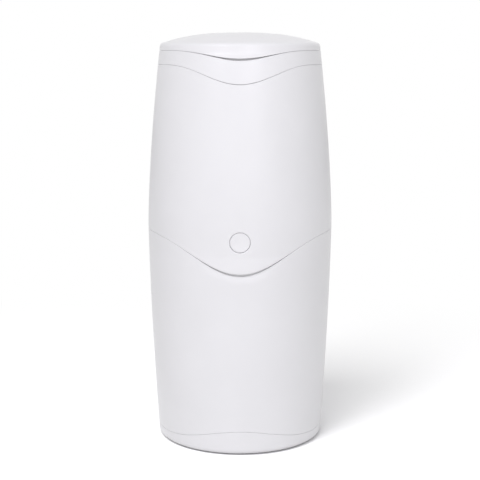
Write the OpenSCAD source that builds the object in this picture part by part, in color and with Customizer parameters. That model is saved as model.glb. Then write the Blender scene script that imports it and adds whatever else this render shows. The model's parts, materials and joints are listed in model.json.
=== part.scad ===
// Nappy bin: a white barrel in two halves. The head tilts back on the lower bin, and its lid opens
// over a film cassette, a chute and two sprung jaws. Millimetres, +Z up, front towards -Y, and the
// origin on the floor under the middle of the barrel.

/* [Barrel] */
// Radius of the barrel at its waist
waist_r = 120; // [118:1:130]
// Height of the waist above the floor
waist_z = 285; // [275:1:300]
// Radius of the barrel at the floor
foot_r = 108; // [104:1:116]
// Height of the lid's rim above the floor
rim_z = 513; // [505:1:535]
// How soon the barrel curves in from the waist
bow = 1.5; // [1.4:0.1:2]
// Wall of the outer shells
wall = 3; // [2.4:0.1:3.4]
// Rounding of the bottom edge
foot_round = 7; // [4:1:9]

/* [Parting lines] */
// Height of the line between the head and the lower bin, at the sides and back
part_z = 277; // [270:1:282]
// Drop of that line at the front
part_dip = 42; // [36:1:46]
// Half the width of that drop
part_half_w = 117; // [100:1:118]
// Width of the gap at that line
part_gap = 1; // [0.6:0.1:1.6]
// Height of the top ring's side, from its lower line to the lid
ring_side_h = 18.7; // [17:0.1:21]
// Drop of the top ring's lower line at the front
ring_dip = 23; // [16:1:26]
// Half the width of that drop
ring_half_w = 88; // [78:1:94]
// Height of the base cap's edge at the sides and back
base_side_h = 15.7; // [14:0.1:18]
// Rise of the base cap's edge at the front
base_rise = 16; // [8:1:20]
// Half the width of that rise
base_half_w = 104; // [80:1:104]
// Width of the grooves at the ring and the base cap
seam_gap = 0.8; // [0.4:0.1:1.2]

/* [Lid] */
// Height of the lid's side below its rim
lid_side_h = 6; // [5:0.5:8]
// Drop of the lid's edge at the front
lid_dip = 10.5; // [6:0.5:12]
// Half the width of that drop
lid_half_w = 82; // [60:1:90]
// Gap between the lid and the top ring
lid_gap = 1.2; // [0.8:0.1:1.6]
// Rise of the crown above the rim
crown = 15.5; // [12:0.5:20]
// How flat the crown is in the middle
crown_power = 2.6; // [2.2:0.1:3]
// Rounding between the crown and the side
lid_round = 5; // [4:0.5:6]
// Wall of the lid
lid_wall = 2.5; // [2:0.1:2.8]
// Height of the part of the lid's front that flares out
lid_lip_h = 6.5; // [4:0.5:8]
// How far the lid's finger lip stands out
lid_lip_out = 2.5; // [1:0.1:3]

/* [Head front] */
// Height of the part of the head's front that flares out
flap_lip_h = 22; // [12:1:26]
// How far the head's finger lip stands out
flap_lip_out = 3; // [1:0.1:4]
// Height of the button's middle above the lowest point of the parting line
button_up = 40; // [38:1:44]
// Radius of the button
button_r = 12.5; // [11:0.5:14]
// Travel of the button
button_travel = 2.5; // [2:0.1:2.8]

/* [Rear hinge] */
// Radius of the rear hinge's knuckles
knuckle_r = 5; // [4.5:0.1:5.5]
// Radius of the rear hinge pin
hinge_pin_r = 1.75; // [1.5:0.05:2]
// Half the length of the rear hinge
hinge_half_w = 32; // [28:1:36]
// Gap between neighbouring knuckles
knuckle_gap = 0.6; // [0.4:0.1:0.8]

/* [Lid hinge] */
// Radius of the lid hinge's knuckles
lid_knuckle_r = 4; // [3.6:0.1:4.4]
// Radius of the lid's pin
lid_pin_r = 1.25; // [1:0.05:1.5]
// Half the length of the lid hinge
lid_hinge_half_w = 28; // [24:1:32]
// Length of each of the ring's knuckles
lid_knuckle_len = 10; // [8:1:12]

/* [Film cassette] */
// Radius of the hole through the cassette
cassette_hole_r = 56; // [52:0.5:56]
// Width of the cassette's ring, from its hole to its outside
cassette_w = 30; // [28:0.5:31]
// Height of the cassette without its cap
cassette_h = 62; // [56:1:64]
// Number of folds in the film pack
film_folds = 12; // [8:1:16]

/* [Jaws] */
// Travel of each jaw
jaw_travel = 36; // [30:1:36]
// Height of the jaws
jaw_h = 15.5; // [14:0.5:17]
// Radius of a jaw spring, to the middle of its wire
jaw_spring_r = 3.8; // [3.4:0.1:4]
// Turns of each jaw spring
jaw_spring_turns = 12; // [10:1:16]

/* [Filter] */
// Radius of the carbon filter
filter_r = 33; // [26:1:36]
// Thickness of the carbon filter
filter_t = 7; // [5:0.5:7.5]
// Slots in the filter's cover
filter_slots = 12; // [8:1:14]

/* [Feet] */
// Radius of each foot pad
pad_r = 9; // [7:0.5:11]
// How far the pads stand below the base cap
pad_proud = 1.2; // [0.8:0.1:2]

/* [Hidden] */

far = 300;              // past every face of the bin
eps = 0.5;              // bite of one solid of a piece into the next
over = 2;               // how far a cutter runs past what it cuts
fit = 0.3;              // clearance between pieces that sit in one another
run = 0.07;             // clearance of a pin or a screw in its bore
station = 24;           // height between the turned walls' stations
wave_step = 6;          // width between the points of a parting line
round_steps = 6;        // flats in a rounded edge
screw_count = 4;        // screws in a ring
screw_turn = 45;        // angle of the first screw of a ring

// Colours
white = [0.93, 0.93, 0.94];
pale = [0.84, 0.85, 0.87];
grey = [0.62, 0.65, 0.68];
dark = [0.2, 0.21, 0.22];
steel = [0.72, 0.73, 0.75];
film = [0.8, 0.87, 0.9];

// Cassette, the tray's mouth round it and the barrel's rim round that
cassette_side = 2;
cassette_r = cassette_hole_r + cassette_w;
ring_open_r = cassette_r + cassette_side;
tray_screw_in = 6;
tray_screw_edge = 4;
tray_screw_ring_r = ring_open_r + tray_screw_in;
tray_flange_r = tray_screw_ring_r + tray_screw_edge;
rim_side = 4.5;
rim_r = tray_flange_r + rim_side;

// Heights that follow from the driving sizes
lid_z = rim_z - lid_side_h;
lid_mid_z = lid_z - lid_dip;
ring_z = lid_z - ring_side_h;
ring_mid_z = ring_z - ring_dip;
ring_top_z = lid_z - lid_gap;
part_mid_z = part_z - part_dip;
base_mid_h = base_side_h + base_rise;
button_z = part_mid_z + button_up;

// Screws
screw_r = 1.7;
screw_head_r = 3.6;
screw_head_h = 2.2;
screw_tip = 1.5;
screw_tip_r = 0.3;
screw_head_edge = 0.9;
drive_r = 1;
drive_edge = 0.2;
drive_h = 0.8;

// Base cap, floor of the lower shell and the screws that join them
cap_plate_t = 3;
cap_plate_z = pad_proud + cap_plate_t;
cup_r = 6;
cup_h = 3;
cup_in = 5;
cup_top_z = cap_plate_z + cup_h;
floor_up = 11;
floor_z = cup_top_z + floor_up;
floor_t = 3;
floor_boss_r = 5;
pad_sunk = 1.8;
pad_in = 3;
pad_count = 4;
pad_ring_r = foot_r - foot_round - pad_r - pad_in;
base_screw_ring_r = foot_r - foot_round - cup_r - cup_in;
base_screw_grip = 9;

// Lapped joints: a sleeve inside the wall across each parting line
lap_fit = 0.5;
lap_t = 2;
lap_up = 6;
lap_root = 8;
lap_land = 1.3;
lap_foot = 1;

// Rear hinge
hinge_in = 0.5;
hinge_y = waist_r - hinge_in;
hinge_z = part_z;
knuckle_count = 5;
knuckle_step = 2 * hinge_half_w / knuckle_count;
knuckle_space = 0.8;
knuckle_reach = 0.8 * knuckle_gap;
pin_in = 1;
tail_h = 24;
tail_flat_h = 7;
tail_root = 20;
tail_in = 1;
notch_side = 6;
notch_half_w = hinge_half_w + notch_side;

// Lid hinge
lid_hinge_out = 0.9;
lid_hinge_y = body_r(lid_z) + lid_hinge_out;
lid_tail_h = 16;
lid_tail_flat_h = 5;
lid_tail_root = 12;
lid_web_root = 10;
lid_web_flat_h = 1.5;
lid_web_up = 1;
lid_mid_half_w = lid_hinge_half_w - lid_knuckle_len - knuckle_gap;

// Top ring and tray
collar_t = 2;
flange_t = 2.5;
tray_down = 8.8;
tray_flange_z = ring_top_z - tray_down;
tray_t = 3;
tray_boss_r = 3.8;
tray_screw_bite = 5.5;
tray_screw_grip = tray_t + tray_screw_bite;
cassette_down = 12.3;
cassette_top_z = ring_top_z - cassette_down;
tray_floor_z = cassette_top_z - cassette_h;
chute_side = 2;
chute_r = cassette_hole_r - chute_side;
chute_t = 2;
sleeve_flange_w = 8;
sleeve_flange_t = 2;

// Cassette and its cap
cassette_t = 1.8;
cassette_floor_t = 2;
cassette_edge = 1.5;
film_exit_h = 4;
cap_in = 4.5;
cap_t = 2;
cap_edge = 0.8;
cap_lip = 1;
cap_skirt_t = 1.5;
cap_skirt_h = 3.5;
cap_plug_h = 4;
film_side = 4;
film_down = 6;
film_fold = 2;

// Clamp frame under the tray
frame_t = 3;
post_h = 29;
frame_z = tray_floor_z - tray_t - post_h;
frame_low_z = frame_z - frame_t;
frame_side = 3.8;
frame_r = body_r(frame_z) - wall - frame_side;
lug_screw_bite = 7;
lug_screw_grip = frame_t + lug_screw_bite;
lug_angle = 30;
lug_in = 5;
lug_ring_r = frame_r - lug_in;
lug_half_w = 5;
lug_h = 11;

// Jaws, with the rails and the end stops that they slide between
stop_in = 9;
stop_x = frame_r - stop_in;
stop_t = 3;
stop_half_w = 26;
stop_room = 4;
jaw_len = stop_x - stop_room - jaw_travel;
jaw_side = 2.5;
jaw_half_w = chute_r - jaw_side;
jaw_gap = 0.5;
jaw_top_z = frame_low_z - jaw_gap;
jaw_low_z = jaw_top_z - jaw_h;
rail_in = jaw_half_w + fit;
rail_t = 6.5;
rail_down = 3;
rail_low_z = jaw_low_z - rail_down;
rail_short = 8;
rail_half_l = stop_x - rail_short;
tongue_up = 5;
tongue_z = jaw_low_z + tongue_up;
tongue_h = 4;
tongue_out = 3.4;
meet_gap = 0.15;
lip_t = 3;
lip_slope = 1.5;
jaw_slope = [7, 4];
jaw_axis_z = jaw_low_z + jaw_h / 2;
pocket_r = 5.2;
pocket_x = 14;
guide_r = 2.2;
guide_room = 2;
guide_x = pocket_x + jaw_travel + guide_room;
jaw_wire_r = 0.6;
wire_room = 0.05;
post_r = 4.5;
post_x = 40;
post_side = 11.7;
post_y = rail_in + rail_t + post_side;
post_screw_bite = 6;
post_screw_grip = frame_t + post_screw_bite;

// Cutter under the clamp frame
cutter_half_w = 28;
cutter_in = 26;
cutter_y = cutter_in - frame_r;
cutter_half_t = 10;
cutter_h = 17;
cutter_low_z = frame_low_z - cutter_h;
cut_slot_half_t = 1.2;
cut_slot_h = 10;
cut_slot_end_x = 22;
blade_half_t = 0.3;
blade_in = 3.5;
blade_edge_x = 6;
blade_low = 1.5;
cutter_screw_x = 16;
cutter_screw_off_y = 5.6;
cutter_screw_bite = 7;
cutter_screw_grip = frame_t + cutter_screw_bite;

// Button and the latch behind it
button_recess = 0.8;
button_y = -(body_r(button_z) - button_recess);
button_wall = 2.5;
button_lip = 2.2;
button_lip_t = 1.9;
button_dish = 0.7;
button_land = 1.2;
collar_in = 6.5;
collar_y = collar_in - waist_r;
stem_r = 2.5;
pivot_up = 25;
pivot_z = button_z + pivot_up;
lever_in = 19.6;
lever_y = lever_in - waist_r;
lever_t = 3;
lever_half_w = 9;
lever_top = 18;
lever_hub_r = 4;
nose_tip_h = 2;
nose_h = 9.5;
nose_down = 11.5;
nose_z = part_mid_z - nose_down;
nose_spare = 1.05;      // travel of the nose past what draws it off the catch
nose_out = button_travel * (pivot_z - nose_z) / pivot_up - nose_spare;
pivot_y = lever_y + lever_t / 2;
pivot_r = 1.5;
bracket_t = 3;
bracket_face_in = 8;
bracket_face_y = bracket_face_in - waist_r;
bracket_half_h = 7.5;
bracket_half_w = 26;
bracket_in = lever_half_w + fit;
bracket_past = 4.4;
bracket_back_y = pivot_y + bracket_past;
cheek_in = 1;
bracket_screw_x = 19.3;
bracket_screw_bite = 4.2;
bracket_screw_grip = bracket_t + bracket_screw_bite;
boss_r = 4;
pin_head_r = 2.5;
pin_head_h = 1.2;
latch_wire_r = 0.45;
latch_spring_r = 3.4;
latch_spring_up = 13;
latch_spring_z = pivot_z + latch_spring_up;
latch_spring_turns = 5;
latch_seat_in = 6;
latch_seat_y = latch_seat_in - waist_r;
latch_peg_r = 2.4;
latch_peg_h = 3;

// Catch on the lower shell
leaf_t = 1;
leaf_half_w = 12;
leaf_past = 2.5;
leaf_y = lever_y - nose_out - leaf_past;
leaf_up = 0.8;
leaf_lip_z = nose_z + leaf_up;
leaf_short = 3.2;
leaf_lip_y = lever_y - leaf_short;
leaf_tab = 1.5;
leaf_down = 28;
leaf_low_z = nose_z - leaf_down;
catch_screw_down = 20;
catch_screw_z = nose_z - catch_screw_down;
catch_screw_x = 7;
catch_screw_bite = 4.6;
catch_screw_grip = leaf_t + catch_screw_bite;

// Lid's inner parts
crown_past = 3.5;
crown_ref_r = rim_r + crown_past;
edge_in = 3;
edge_up = 0.3;
edge_z = crown_z(rim_r - edge_in) - lid_round + edge_up;
liner_side = 4;
liner_r = ring_open_r - liner_side;
liner_t = 2;
liner_down = 7.8;
liner_low_z = ring_top_z - liner_down;
liner_flange_up = 3.2;
liner_flange_z = ring_top_z + liner_flange_up;
liner_cup_h = 5;
liner_cup_r = 6;
liner_screw_ring_r = 64;
liner_screw_grip = 9;
seal_side = 5;
seal_r = ring_open_r + seal_side;
seal_half_w = 2;
seal_point_h = 1.1;
seal_edge = 1;
liner_flange_r = seal_r + seal_half_w + seal_edge;
cover_t = 3;
pocket_wall = 2;
filter_side = 1;
filter_pocket_r = filter_r + filter_side;
slot_edge = 4;
slot_half_w = 1.5;
pull_half_l = 12;
pull_half_w = 1.5;
pull_h = 1.5;

// Radius of the barrel's skin at a height
function body_r(z) = z < waist_z
    ? waist_r - (waist_r - foot_r) * pow((waist_z - z) / waist_z, bow)
    : waist_r - (waist_r - rim_r) * pow((z - waist_z) / (rim_z - waist_z), bow);

// Height of a parting line at a distance x from the middle, seen from the front
function wave(x, mid, side, half_w) =
    side + (mid - side) * (1 + cos(180 * min(abs(x) / half_w, 1))) / 2;

// Even heights from low to high
function stations(low, high) = let (n = max(1, ceil((high - low) / station)))
    [for (i = [0 : n]) low + (high - low) * i / n];

// Extra radius of a finger lip that starts at the height kink and is full at the height tip
function lip_r(z, kink, tip, out) = out * max(0, kink - z) / (kink - tip);

// Height of the top of the lid's crown at a radius
function crown_z(r) = rim_z + crown * (1 - pow(r / crown_ref_r, crown_power));

// Everything under a parting line: it waves at the front and is level at the back
module under_wave(mid, side, half_w) {
    n = 2 * ceil(half_w / wave_step);
    rotate([90, 0, 0])
        linear_extrude(far)
            polygon(concat(
                [[-far, -far], [-far, side]],
                [for (i = [0 : n]) let (x = half_w * (2 * i / n - 1)) [x, wave(x, mid, side, half_w)]],
                [[far, side], [far, -far]]));
    translate([-far, 0, -far])
        cube([2 * far, far, far + side]);
}

module under_part(up = 0) under_wave(part_mid_z + up, part_z + up, part_half_w);
module under_ring(up = 0) under_wave(ring_mid_z + up, ring_z + up, ring_half_w);
module under_lid(up = 0) under_wave(lid_mid_z + up, lid_z + up, lid_half_w);
module under_base(up = 0) under_wave(base_mid_h + up, base_side_h + up, base_half_w);

// Turned wall of the barrel from low to high, between two depths below its skin
module barrel(low, high, outer, inner) {
    zs = stations(low, high);
    rotate_extrude($fn = 120)
        polygon(concat(
            [for (z = zs) [body_r(z) - outer, z]],
            [for (i = [len(zs) - 1 : -1 : 0]) [body_r(zs[i]) - inner, zs[i]]]));
}

// The head's wall, whose front edge flares out into a finger lip
module flared_barrel(low, high, kink, out) {
    upper = stations(kink, high);
    zs = concat([low], upper);
    rotate_extrude($fn = 120)
        polygon(concat(
            [for (z = zs) [body_r(z) + lip_r(z, kink, low, out), z]],
            [for (i = [len(zs) - 1 : -1 : 0])
                [body_r(zs[i]) + lip_r(zs[i], kink, low, out) - wall, zs[i]]]));
}

// Solid core of the barrel, inside its wall
module core(low, high, depth) {
    zs = stations(low, high);
    rotate_extrude($fn = 120)
        polygon(concat(
            [[0, low]],
            [for (z = zs) [body_r(z) - depth, z]],
            [[0, high]]));
}

module tube(r_out, r_in, low, high) {
    translate([0, 0, low])
        difference() {
            cylinder(r = r_out, h = high - low, $fn = 96);
            translate([0, 0, -over])
                cylinder(r = r_in, h = high - low + 2 * over, $fn = 96);
        }
}

module along_x(x0, x1, y, z, r) {
    translate([x0, y, z])
        rotate([0, 90, 0])
            cylinder(r = r, h = x1 - x0, $fn = 48);
}

module along_y(y0, y1, x, z, r) {
    translate([x, y1, z])
        rotate([90, 0, 0])
            cylinder(r = r, h = y1 - y0, $fn = 64);
}

module along_z(z0, z1, x, y, r) {
    translate([x, y, z0])
        cylinder(r = r, h = z1 - z0, $fn = 48);
}

// A profile given in (y, z), drawn from x0 to x1
module side_profile(x0, x1, points) {
    translate([x0, 0, 0])
        rotate([90, 0, 90])
            linear_extrude(x1 - x0)
                polygon(points);
}

// A profile given in (x, z), drawn from y0 to y1
module front_profile(y0, y1, points) {
    translate([0, y1, 0])
        rotate([90, 0, 0])
            linear_extrude(y1 - y0)
                polygon(points);
}

module block(low, high) {
    translate(low)
        cube(high - low);
}

module ring_of(count, r, first = 0) {
    for (i = [0 : count - 1])
        rotate([0, 0, first + i * 360 / count])
            translate([r, 0, 0])
                children();
}

module at_posts() {
    for (x = [-post_x, post_x], y = [-post_y, post_y])
        translate([x, y, 0])
            children();
}

// The places of the head's lugs, either side of the front and of the back
module at_lugs() {
    for (a = [90 - lug_angle, 90 + lug_angle, 270 - lug_angle, 270 + lug_angle])
        rotate([0, 0, a])
            translate([lug_ring_r, 0, 0])
                children();
}

module at_cutter_screws() {
    for (side = [-1, 1])
        translate([side * cutter_screw_x, cutter_y + side * cutter_screw_off_y, 0])
            children();
}

// A pan-head screw that points up, with the underside of its head at z = 0
module screw(grip) {
    rotate_extrude($fn = 48)
        polygon([
            [0, drive_h - screw_head_h], [drive_r, drive_h - screw_head_h],
            [drive_r + drive_edge, -screw_head_h],
            [screw_head_r - screw_head_edge, -screw_head_h], [screw_head_r, screw_head_edge - screw_head_h],
            [screw_head_r, 0], [screw_r, 0], [screw_r, grip - screw_tip], [screw_tip_r, grip], [0, grip]
        ]);
}

// One unbroken spring wire round the X axis, between seats at x0 and x0 + len
module spring(x0, len, r, wire_r, turns) {
    steps = 8;
    sides = 6;
    seat = wire_r + wire_room;
    pitch = (len - 2 * seat) / turns;
    lean = atan2(pitch, 2 * PI * r);
    line = [for (i = [0 : turns * steps]) let (a = 360 * i / steps)
        [x0 + seat + pitch * i / steps, r * cos(a), r * sin(a)]];
    n = len(line);
    points = [for (i = [0 : n - 1], k = [0 : sides - 1])
        let (a = 360 * i / steps, b = 360 * k / sides, out = wire_r * cos(b), up = wire_r * sin(b))
            line[i] + [up * cos(lean), out * cos(a) + up * sin(lean) * sin(a),
                out * sin(a) - up * sin(lean) * cos(a)]];
    least = min([for (i = [0 : n - steps - 1], j = [i + steps - 2 : min(i + steps + 2, n - 1)])
        norm(line[i] - line[j])]) - 2 * wire_r;
    echo(least_gap_between_turns = least);
    polyhedron(points, concat(
        [[for (k = [sides - 1 : -1 : 0]) k]],
        [for (i = [0 : n - 2], k = [0 : sides - 1])
            let (a = i * sides + k, b = i * sides + (k + 1) % sides) [a, b, a + sides]],
        [for (i = [0 : n - 2], k = [0 : sides - 1])
            let (a = i * sides + k, b = i * sides + (k + 1) % sides) [b, b + sides, a + sides]],
        [[for (k = [0 : sides - 1]) (n - 1) * sides + k]]));
}

// Rear hinge: five knuckles, three on the lower shell and two on the head
function knuckle_x(i) = -hinge_half_w + i * knuckle_step + knuckle_gap / 2;

module knuckles(which) {
    for (i = which)
        along_x(knuckle_x(i), knuckle_x(i + 1) - knuckle_gap, hinge_y, hinge_z, knuckle_r);
}

// Room for the other shell's knuckles to turn in
module knuckle_spaces(which) {
    for (i = which)
        along_x(knuckle_x(i) - knuckle_reach, knuckle_x(i + 1) - knuckle_gap + knuckle_reach,
            hinge_y, hinge_z, knuckle_r + knuckle_space);
}

// Tails that carry the knuckles on a shell, below (-1) or above (1) the axis
module tails(which, way) {
    end_z = hinge_z + way * tail_h;
    end_y = sqrt(pow(body_r(end_z), 2) - pow(hinge_half_w, 2)) - tail_in;
    difference() {
        for (i = which)
            side_profile(knuckle_x(i), knuckle_x(i + 1) - knuckle_gap, [
                [hinge_y - tail_root, hinge_z + way * part_gap / 2],
                [hinge_y + knuckle_r, hinge_z + way * part_gap / 2],
                [hinge_y + knuckle_r, hinge_z + way * tail_flat_h],
                [end_y, end_z], [hinge_y - tail_root, end_z]
            ]);
        core(hinge_z - tail_h - over, hinge_z + tail_h + over, wall - eps / 2);
    }
}

module hinge_bore() {
    along_x(-hinge_half_w - over, hinge_half_w + over, hinge_y, hinge_z, hinge_pin_r + run);
}

module base_cap() {
    turn_z = pad_proud + foot_round;
    zs = stations(turn_z, base_mid_h + over);
    color(white)
        difference() {
            union() {
                intersection() {
                    rotate_extrude($fn = 120)
                        polygon(concat(
                            [[0, pad_proud]],
                            [for (i = [0 : round_steps]) let (a = -90 + 90 * i / round_steps)
                                [body_r(turn_z) + foot_round * (cos(a) - 1), turn_z + foot_round * sin(a)]],
                            [for (i = [1 : len(zs) - 1]) [body_r(zs[i]), zs[i]]],
                            [for (i = [len(zs) - 1 : -1 : 0]) [body_r(zs[i]) - wall, zs[i]]],
                            [[body_r(turn_z) - foot_round, cap_plate_z], [0, cap_plate_z]]));
                    under_base();
                }
                ring_of(screw_count, base_screw_ring_r, screw_turn)
                    along_z(pad_proud + eps, cup_top_z, 0, 0, cup_r);
            }
            ring_of(screw_count, base_screw_ring_r, screw_turn) {
                along_z(-over, cap_plate_z, 0, 0, screw_head_r + fit);
                along_z(0, cup_top_z + over, 0, 0, screw_r + fit);
            }
            ring_of(pad_count, pad_ring_r)
                along_z(-over, pad_proud + pad_sunk, 0, 0, pad_r + fit);
        }
}

module foot_pads() {
    color(grey)
        ring_of(pad_count, pad_ring_r)
            along_z(0, pad_proud + pad_sunk, 0, 0, pad_r);
}

module base_screws() {
    color(steel)
        ring_of(screw_count, base_screw_ring_r, screw_turn)
            translate([0, 0, cap_plate_z])
                screw(base_screw_grip);
}

module lower_shell() {
    foot_sleeve_z = pad_proud + foot_round + lap_foot;
    color(white)
        difference() {
            union() {
                difference() {
                    intersection() {
                        barrel(base_side_h - over, part_z + over, 0, wall);
                        under_part();
                    }
                    under_base(seam_gap);
                }
                // Sleeve inside the base cap
                intersection() {
                    union() {
                        barrel(foot_sleeve_z, base_mid_h + lap_root + over,
                            wall + fit, wall + fit + lap_t);
                        difference() {
                            barrel(base_side_h, base_mid_h + lap_root + over,
                                wall - eps, wall + fit + eps);
                            under_base(seam_gap + lap_land);
                        }
                    }
                    under_base(lap_root);
                }
                core(floor_z, floor_z + floor_t, wall + fit + lap_t / 2);
                ring_of(screw_count, base_screw_ring_r, screw_turn)
                    along_z(cup_top_z, floor_z + eps, 0, 0, floor_boss_r);
                lower_mouth();
                for (x = [-catch_screw_x, catch_screw_x])
                    along_y(-body_r(catch_screw_z) + wall / 2, leaf_y - leaf_t,
                        x, catch_screw_z, boss_r);
                knuckles([0, 2, 4]);
                tails([0, 2, 4], -1);
            }
            ring_of(screw_count, base_screw_ring_r, screw_turn)
                along_z(cup_top_z - over, cap_plate_z + base_screw_grip + eps, 0, 0, screw_r + run);
            for (x = [-catch_screw_x, catch_screw_x])
                along_y(leaf_y - catch_screw_grip - eps, leaf_y, x, catch_screw_z, screw_r + run);
            knuckle_spaces([1, 3]);
            hinge_bore();
        }
}

// Sleeve of the lower shell that stands up inside the head
module lower_mouth() {
    low = part_mid_z - lap_root - over;
    high = part_z + lap_up + over;
    difference() {
        intersection() {
            union() {
                barrel(low, high, wall + lap_fit, wall + lap_fit + lap_t);
                intersection() {
                    barrel(low, high, wall - eps, wall + lap_fit + eps);
                    under_part(-lap_land);
                }
            }
            under_part(lap_up);
        }
        under_part(-lap_root);
        block([-notch_half_w, 0, low - over], [notch_half_w, far, high + over]);
    }
}

module catch_leaf() {
    turn = leaf_t * sin(45);
    color(steel)
        difference() {
            side_profile(-leaf_half_w, leaf_half_w, [
                [leaf_y - leaf_t, leaf_low_z], [leaf_y, leaf_low_z], [leaf_y, leaf_lip_z],
                [leaf_lip_y, leaf_lip_z], [leaf_lip_y + leaf_tab, leaf_lip_z + leaf_tab],
                [leaf_lip_y + leaf_tab - turn, leaf_lip_z + leaf_tab + turn],
                [leaf_lip_y - leaf_t * tan(22.5), leaf_lip_z + leaf_t],
                [leaf_y - leaf_t, leaf_lip_z + leaf_t]
            ]);
            for (x = [-catch_screw_x, catch_screw_x])
                along_y(leaf_y - leaf_t - over, leaf_y + over, x, catch_screw_z, screw_r + fit);
        }
}

module catch_screws() {
    color(steel)
        for (x = [-catch_screw_x, catch_screw_x])
            translate([x, leaf_y, catch_screw_z])
                rotate([90, 0, 0])
                    screw(catch_screw_grip);
}

module hinge_pin() {
    color(steel)
        along_x(-hinge_half_w + pin_in, hinge_half_w - pin_in, hinge_y, hinge_z, hinge_pin_r);
}

module upper_shell() {
    color(white)
        difference() {
            union() {
                difference() {
                    intersection() {
                        flared_barrel(part_mid_z, ring_z + over,
                            part_mid_z + flap_lip_h, flap_lip_out);
                        under_ring();
                    }
                    under_part(part_gap);
                }
                // Guide of the button, screw bosses of the latch and seat of its spring
                intersection() {
                    union() {
                        along_y(-waist_r, collar_y, 0, button_z, button_r + fit + button_lip);
                        for (x = [-bracket_screw_x, bracket_screw_x])
                            along_y(-waist_r, bracket_face_y, x, pivot_z, boss_r);
                        along_y(-waist_r, latch_seat_y, 0, latch_spring_z, boss_r);
                    }
                    core(part_z - part_dip / 2, pivot_z + part_dip, wall / 2);
                }
                along_y(latch_seat_y - eps, latch_seat_y + latch_peg_h, 0, latch_spring_z, latch_peg_r);
                frame_lugs();
                knuckles([1, 3]);
                tails([1, 3], 1);
            }
            along_y(-waist_r - over, collar_y + over, 0, button_z, button_r + fit);
            for (x = [-bracket_screw_x, bracket_screw_x])
                along_y(bracket_face_y - bracket_screw_grip + bracket_t - eps / 2, bracket_face_y + over,
                    x, pivot_z, screw_r + run);
            at_lugs()
                along_z(frame_z - lug_screw_grip - eps, frame_low_z + over, 0, 0, screw_r + run);
            knuckle_spaces([0, 2, 4]);
            hinge_bore();
        }
}

// Lugs inside the head that the clamp frame stands on
module frame_lugs() {
    intersection() {
        at_lugs()
            block([-lug_half_w, -lug_half_w, frame_low_z - lug_h], [far, lug_half_w, frame_low_z]);
        core(frame_low_z - lug_h - over, frame_low_z + over, wall / 2);
    }
}

module top_ring() {
    low = ring_mid_z - lap_up - over;
    color(white)
        difference() {
            union() {
                difference() {
                    intersection() {
                        barrel(ring_mid_z, lid_z, 0, wall);
                        under_lid(-lid_gap);
                    }
                    under_ring(seam_gap);
                }
                // Inner wall, from inside the head up to the rim
                difference() {
                    union() {
                        barrel(low, ring_top_z, wall + lap_fit, wall + lap_fit + lap_t);
                        difference() {
                            intersection() {
                                barrel(ring_mid_z, ring_top_z - lap_land,
                                    wall - eps, wall + lap_fit + eps);
                                under_lid(-lid_gap - lap_land);
                            }
                            under_ring(seam_gap + lap_land);
                        }
                    }
                    under_ring(-lap_up);
                }
                tube(body_r(ring_top_z) - wall - lap_fit - lap_t / 2, ring_open_r,
                    ring_top_z - flange_t, ring_top_z);
                tube(ring_open_r + collar_t, ring_open_r, tray_flange_z, ring_top_z - flange_t / 2);
                ring_of(screw_count, tray_screw_ring_r, screw_turn)
                    along_z(tray_flange_z, ring_top_z - flange_t / 2, 0, 0, tray_boss_r);
                lid_hinge_posts();
            }
            ring_of(screw_count, tray_screw_ring_r, screw_turn)
                along_z(tray_flange_z - over, tray_flange_z - tray_t + tray_screw_grip + eps,
                    0, 0, screw_r + run);
            along_x(-lid_mid_half_w - knuckle_reach, lid_mid_half_w + knuckle_reach,
                lid_hinge_y, lid_z, lid_knuckle_r + knuckle_space);
            lid_hinge_bore();
        }
}

module lid_hinge_bore() {
    along_x(-lid_hinge_half_w - over, lid_hinge_half_w + over,
        lid_hinge_y, lid_z, lid_pin_r + run);
}

// The ring's two knuckles and the posts that carry them
module lid_hinge_posts() {
    end_z = lid_z - lid_tail_h;
    end_y = sqrt(pow(body_r(end_z), 2) - pow(lid_hinge_half_w, 2)) - tail_in;
    in_y = lid_hinge_y - lid_tail_root;
    for (x = [-lid_hinge_half_w, lid_mid_half_w + knuckle_gap]) {
        along_x(x, x + lid_knuckle_len, lid_hinge_y, lid_z, lid_knuckle_r);
        difference() {
            side_profile(x, x + lid_knuckle_len, [
                [in_y, ring_top_z - lap_land], [lid_hinge_y - lid_knuckle_r, ring_top_z - lap_land],
                [lid_hinge_y - lid_knuckle_r, lid_z], [lid_hinge_y + lid_knuckle_r, lid_z],
                [lid_hinge_y + lid_knuckle_r, lid_z - lid_tail_flat_h], [end_y, end_z], [in_y, end_z]
            ]);
            core(end_z - over, ring_top_z + over, wall - eps / 2);
        }
    }
}

module cassette_tray() {
    color(pale)
        difference() {
            union() {
                tube(tray_flange_r, ring_open_r, tray_flange_z - tray_t, tray_flange_z);
                tube(ring_open_r + collar_t, ring_open_r,
                    tray_floor_z - tray_t, tray_flange_z - tray_t / 2);
                tube(ring_open_r + collar_t / 2, chute_r, tray_floor_z - tray_t, tray_floor_z);
                at_posts()
                    along_z(frame_z, tray_floor_z - tray_t / 2, 0, 0, post_r);
            }
            ring_of(screw_count, tray_screw_ring_r, screw_turn)
                along_z(tray_flange_z - tray_t - over, tray_flange_z + over, 0, 0, screw_r + fit);
            at_posts()
                along_z(frame_z - over, frame_low_z + post_screw_grip + eps, 0, 0, screw_r + run);
        }
}

// Sleeve that carries the chute on from the tray's floor down to the jaws
module chute_sleeve() {
    top = tray_floor_z - tray_t;
    color(pale) {
        tube(chute_r + chute_t, chute_r, frame_low_z + fit, top);
        tube(chute_r + chute_t + sleeve_flange_w, chute_r, top - sleeve_flange_t, top);
    }
}

module tray_screws() {
    color(steel)
        ring_of(screw_count, tray_screw_ring_r, screw_turn)
            translate([0, 0, tray_flange_z - tray_t])
                screw(tray_screw_grip);
}

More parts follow.
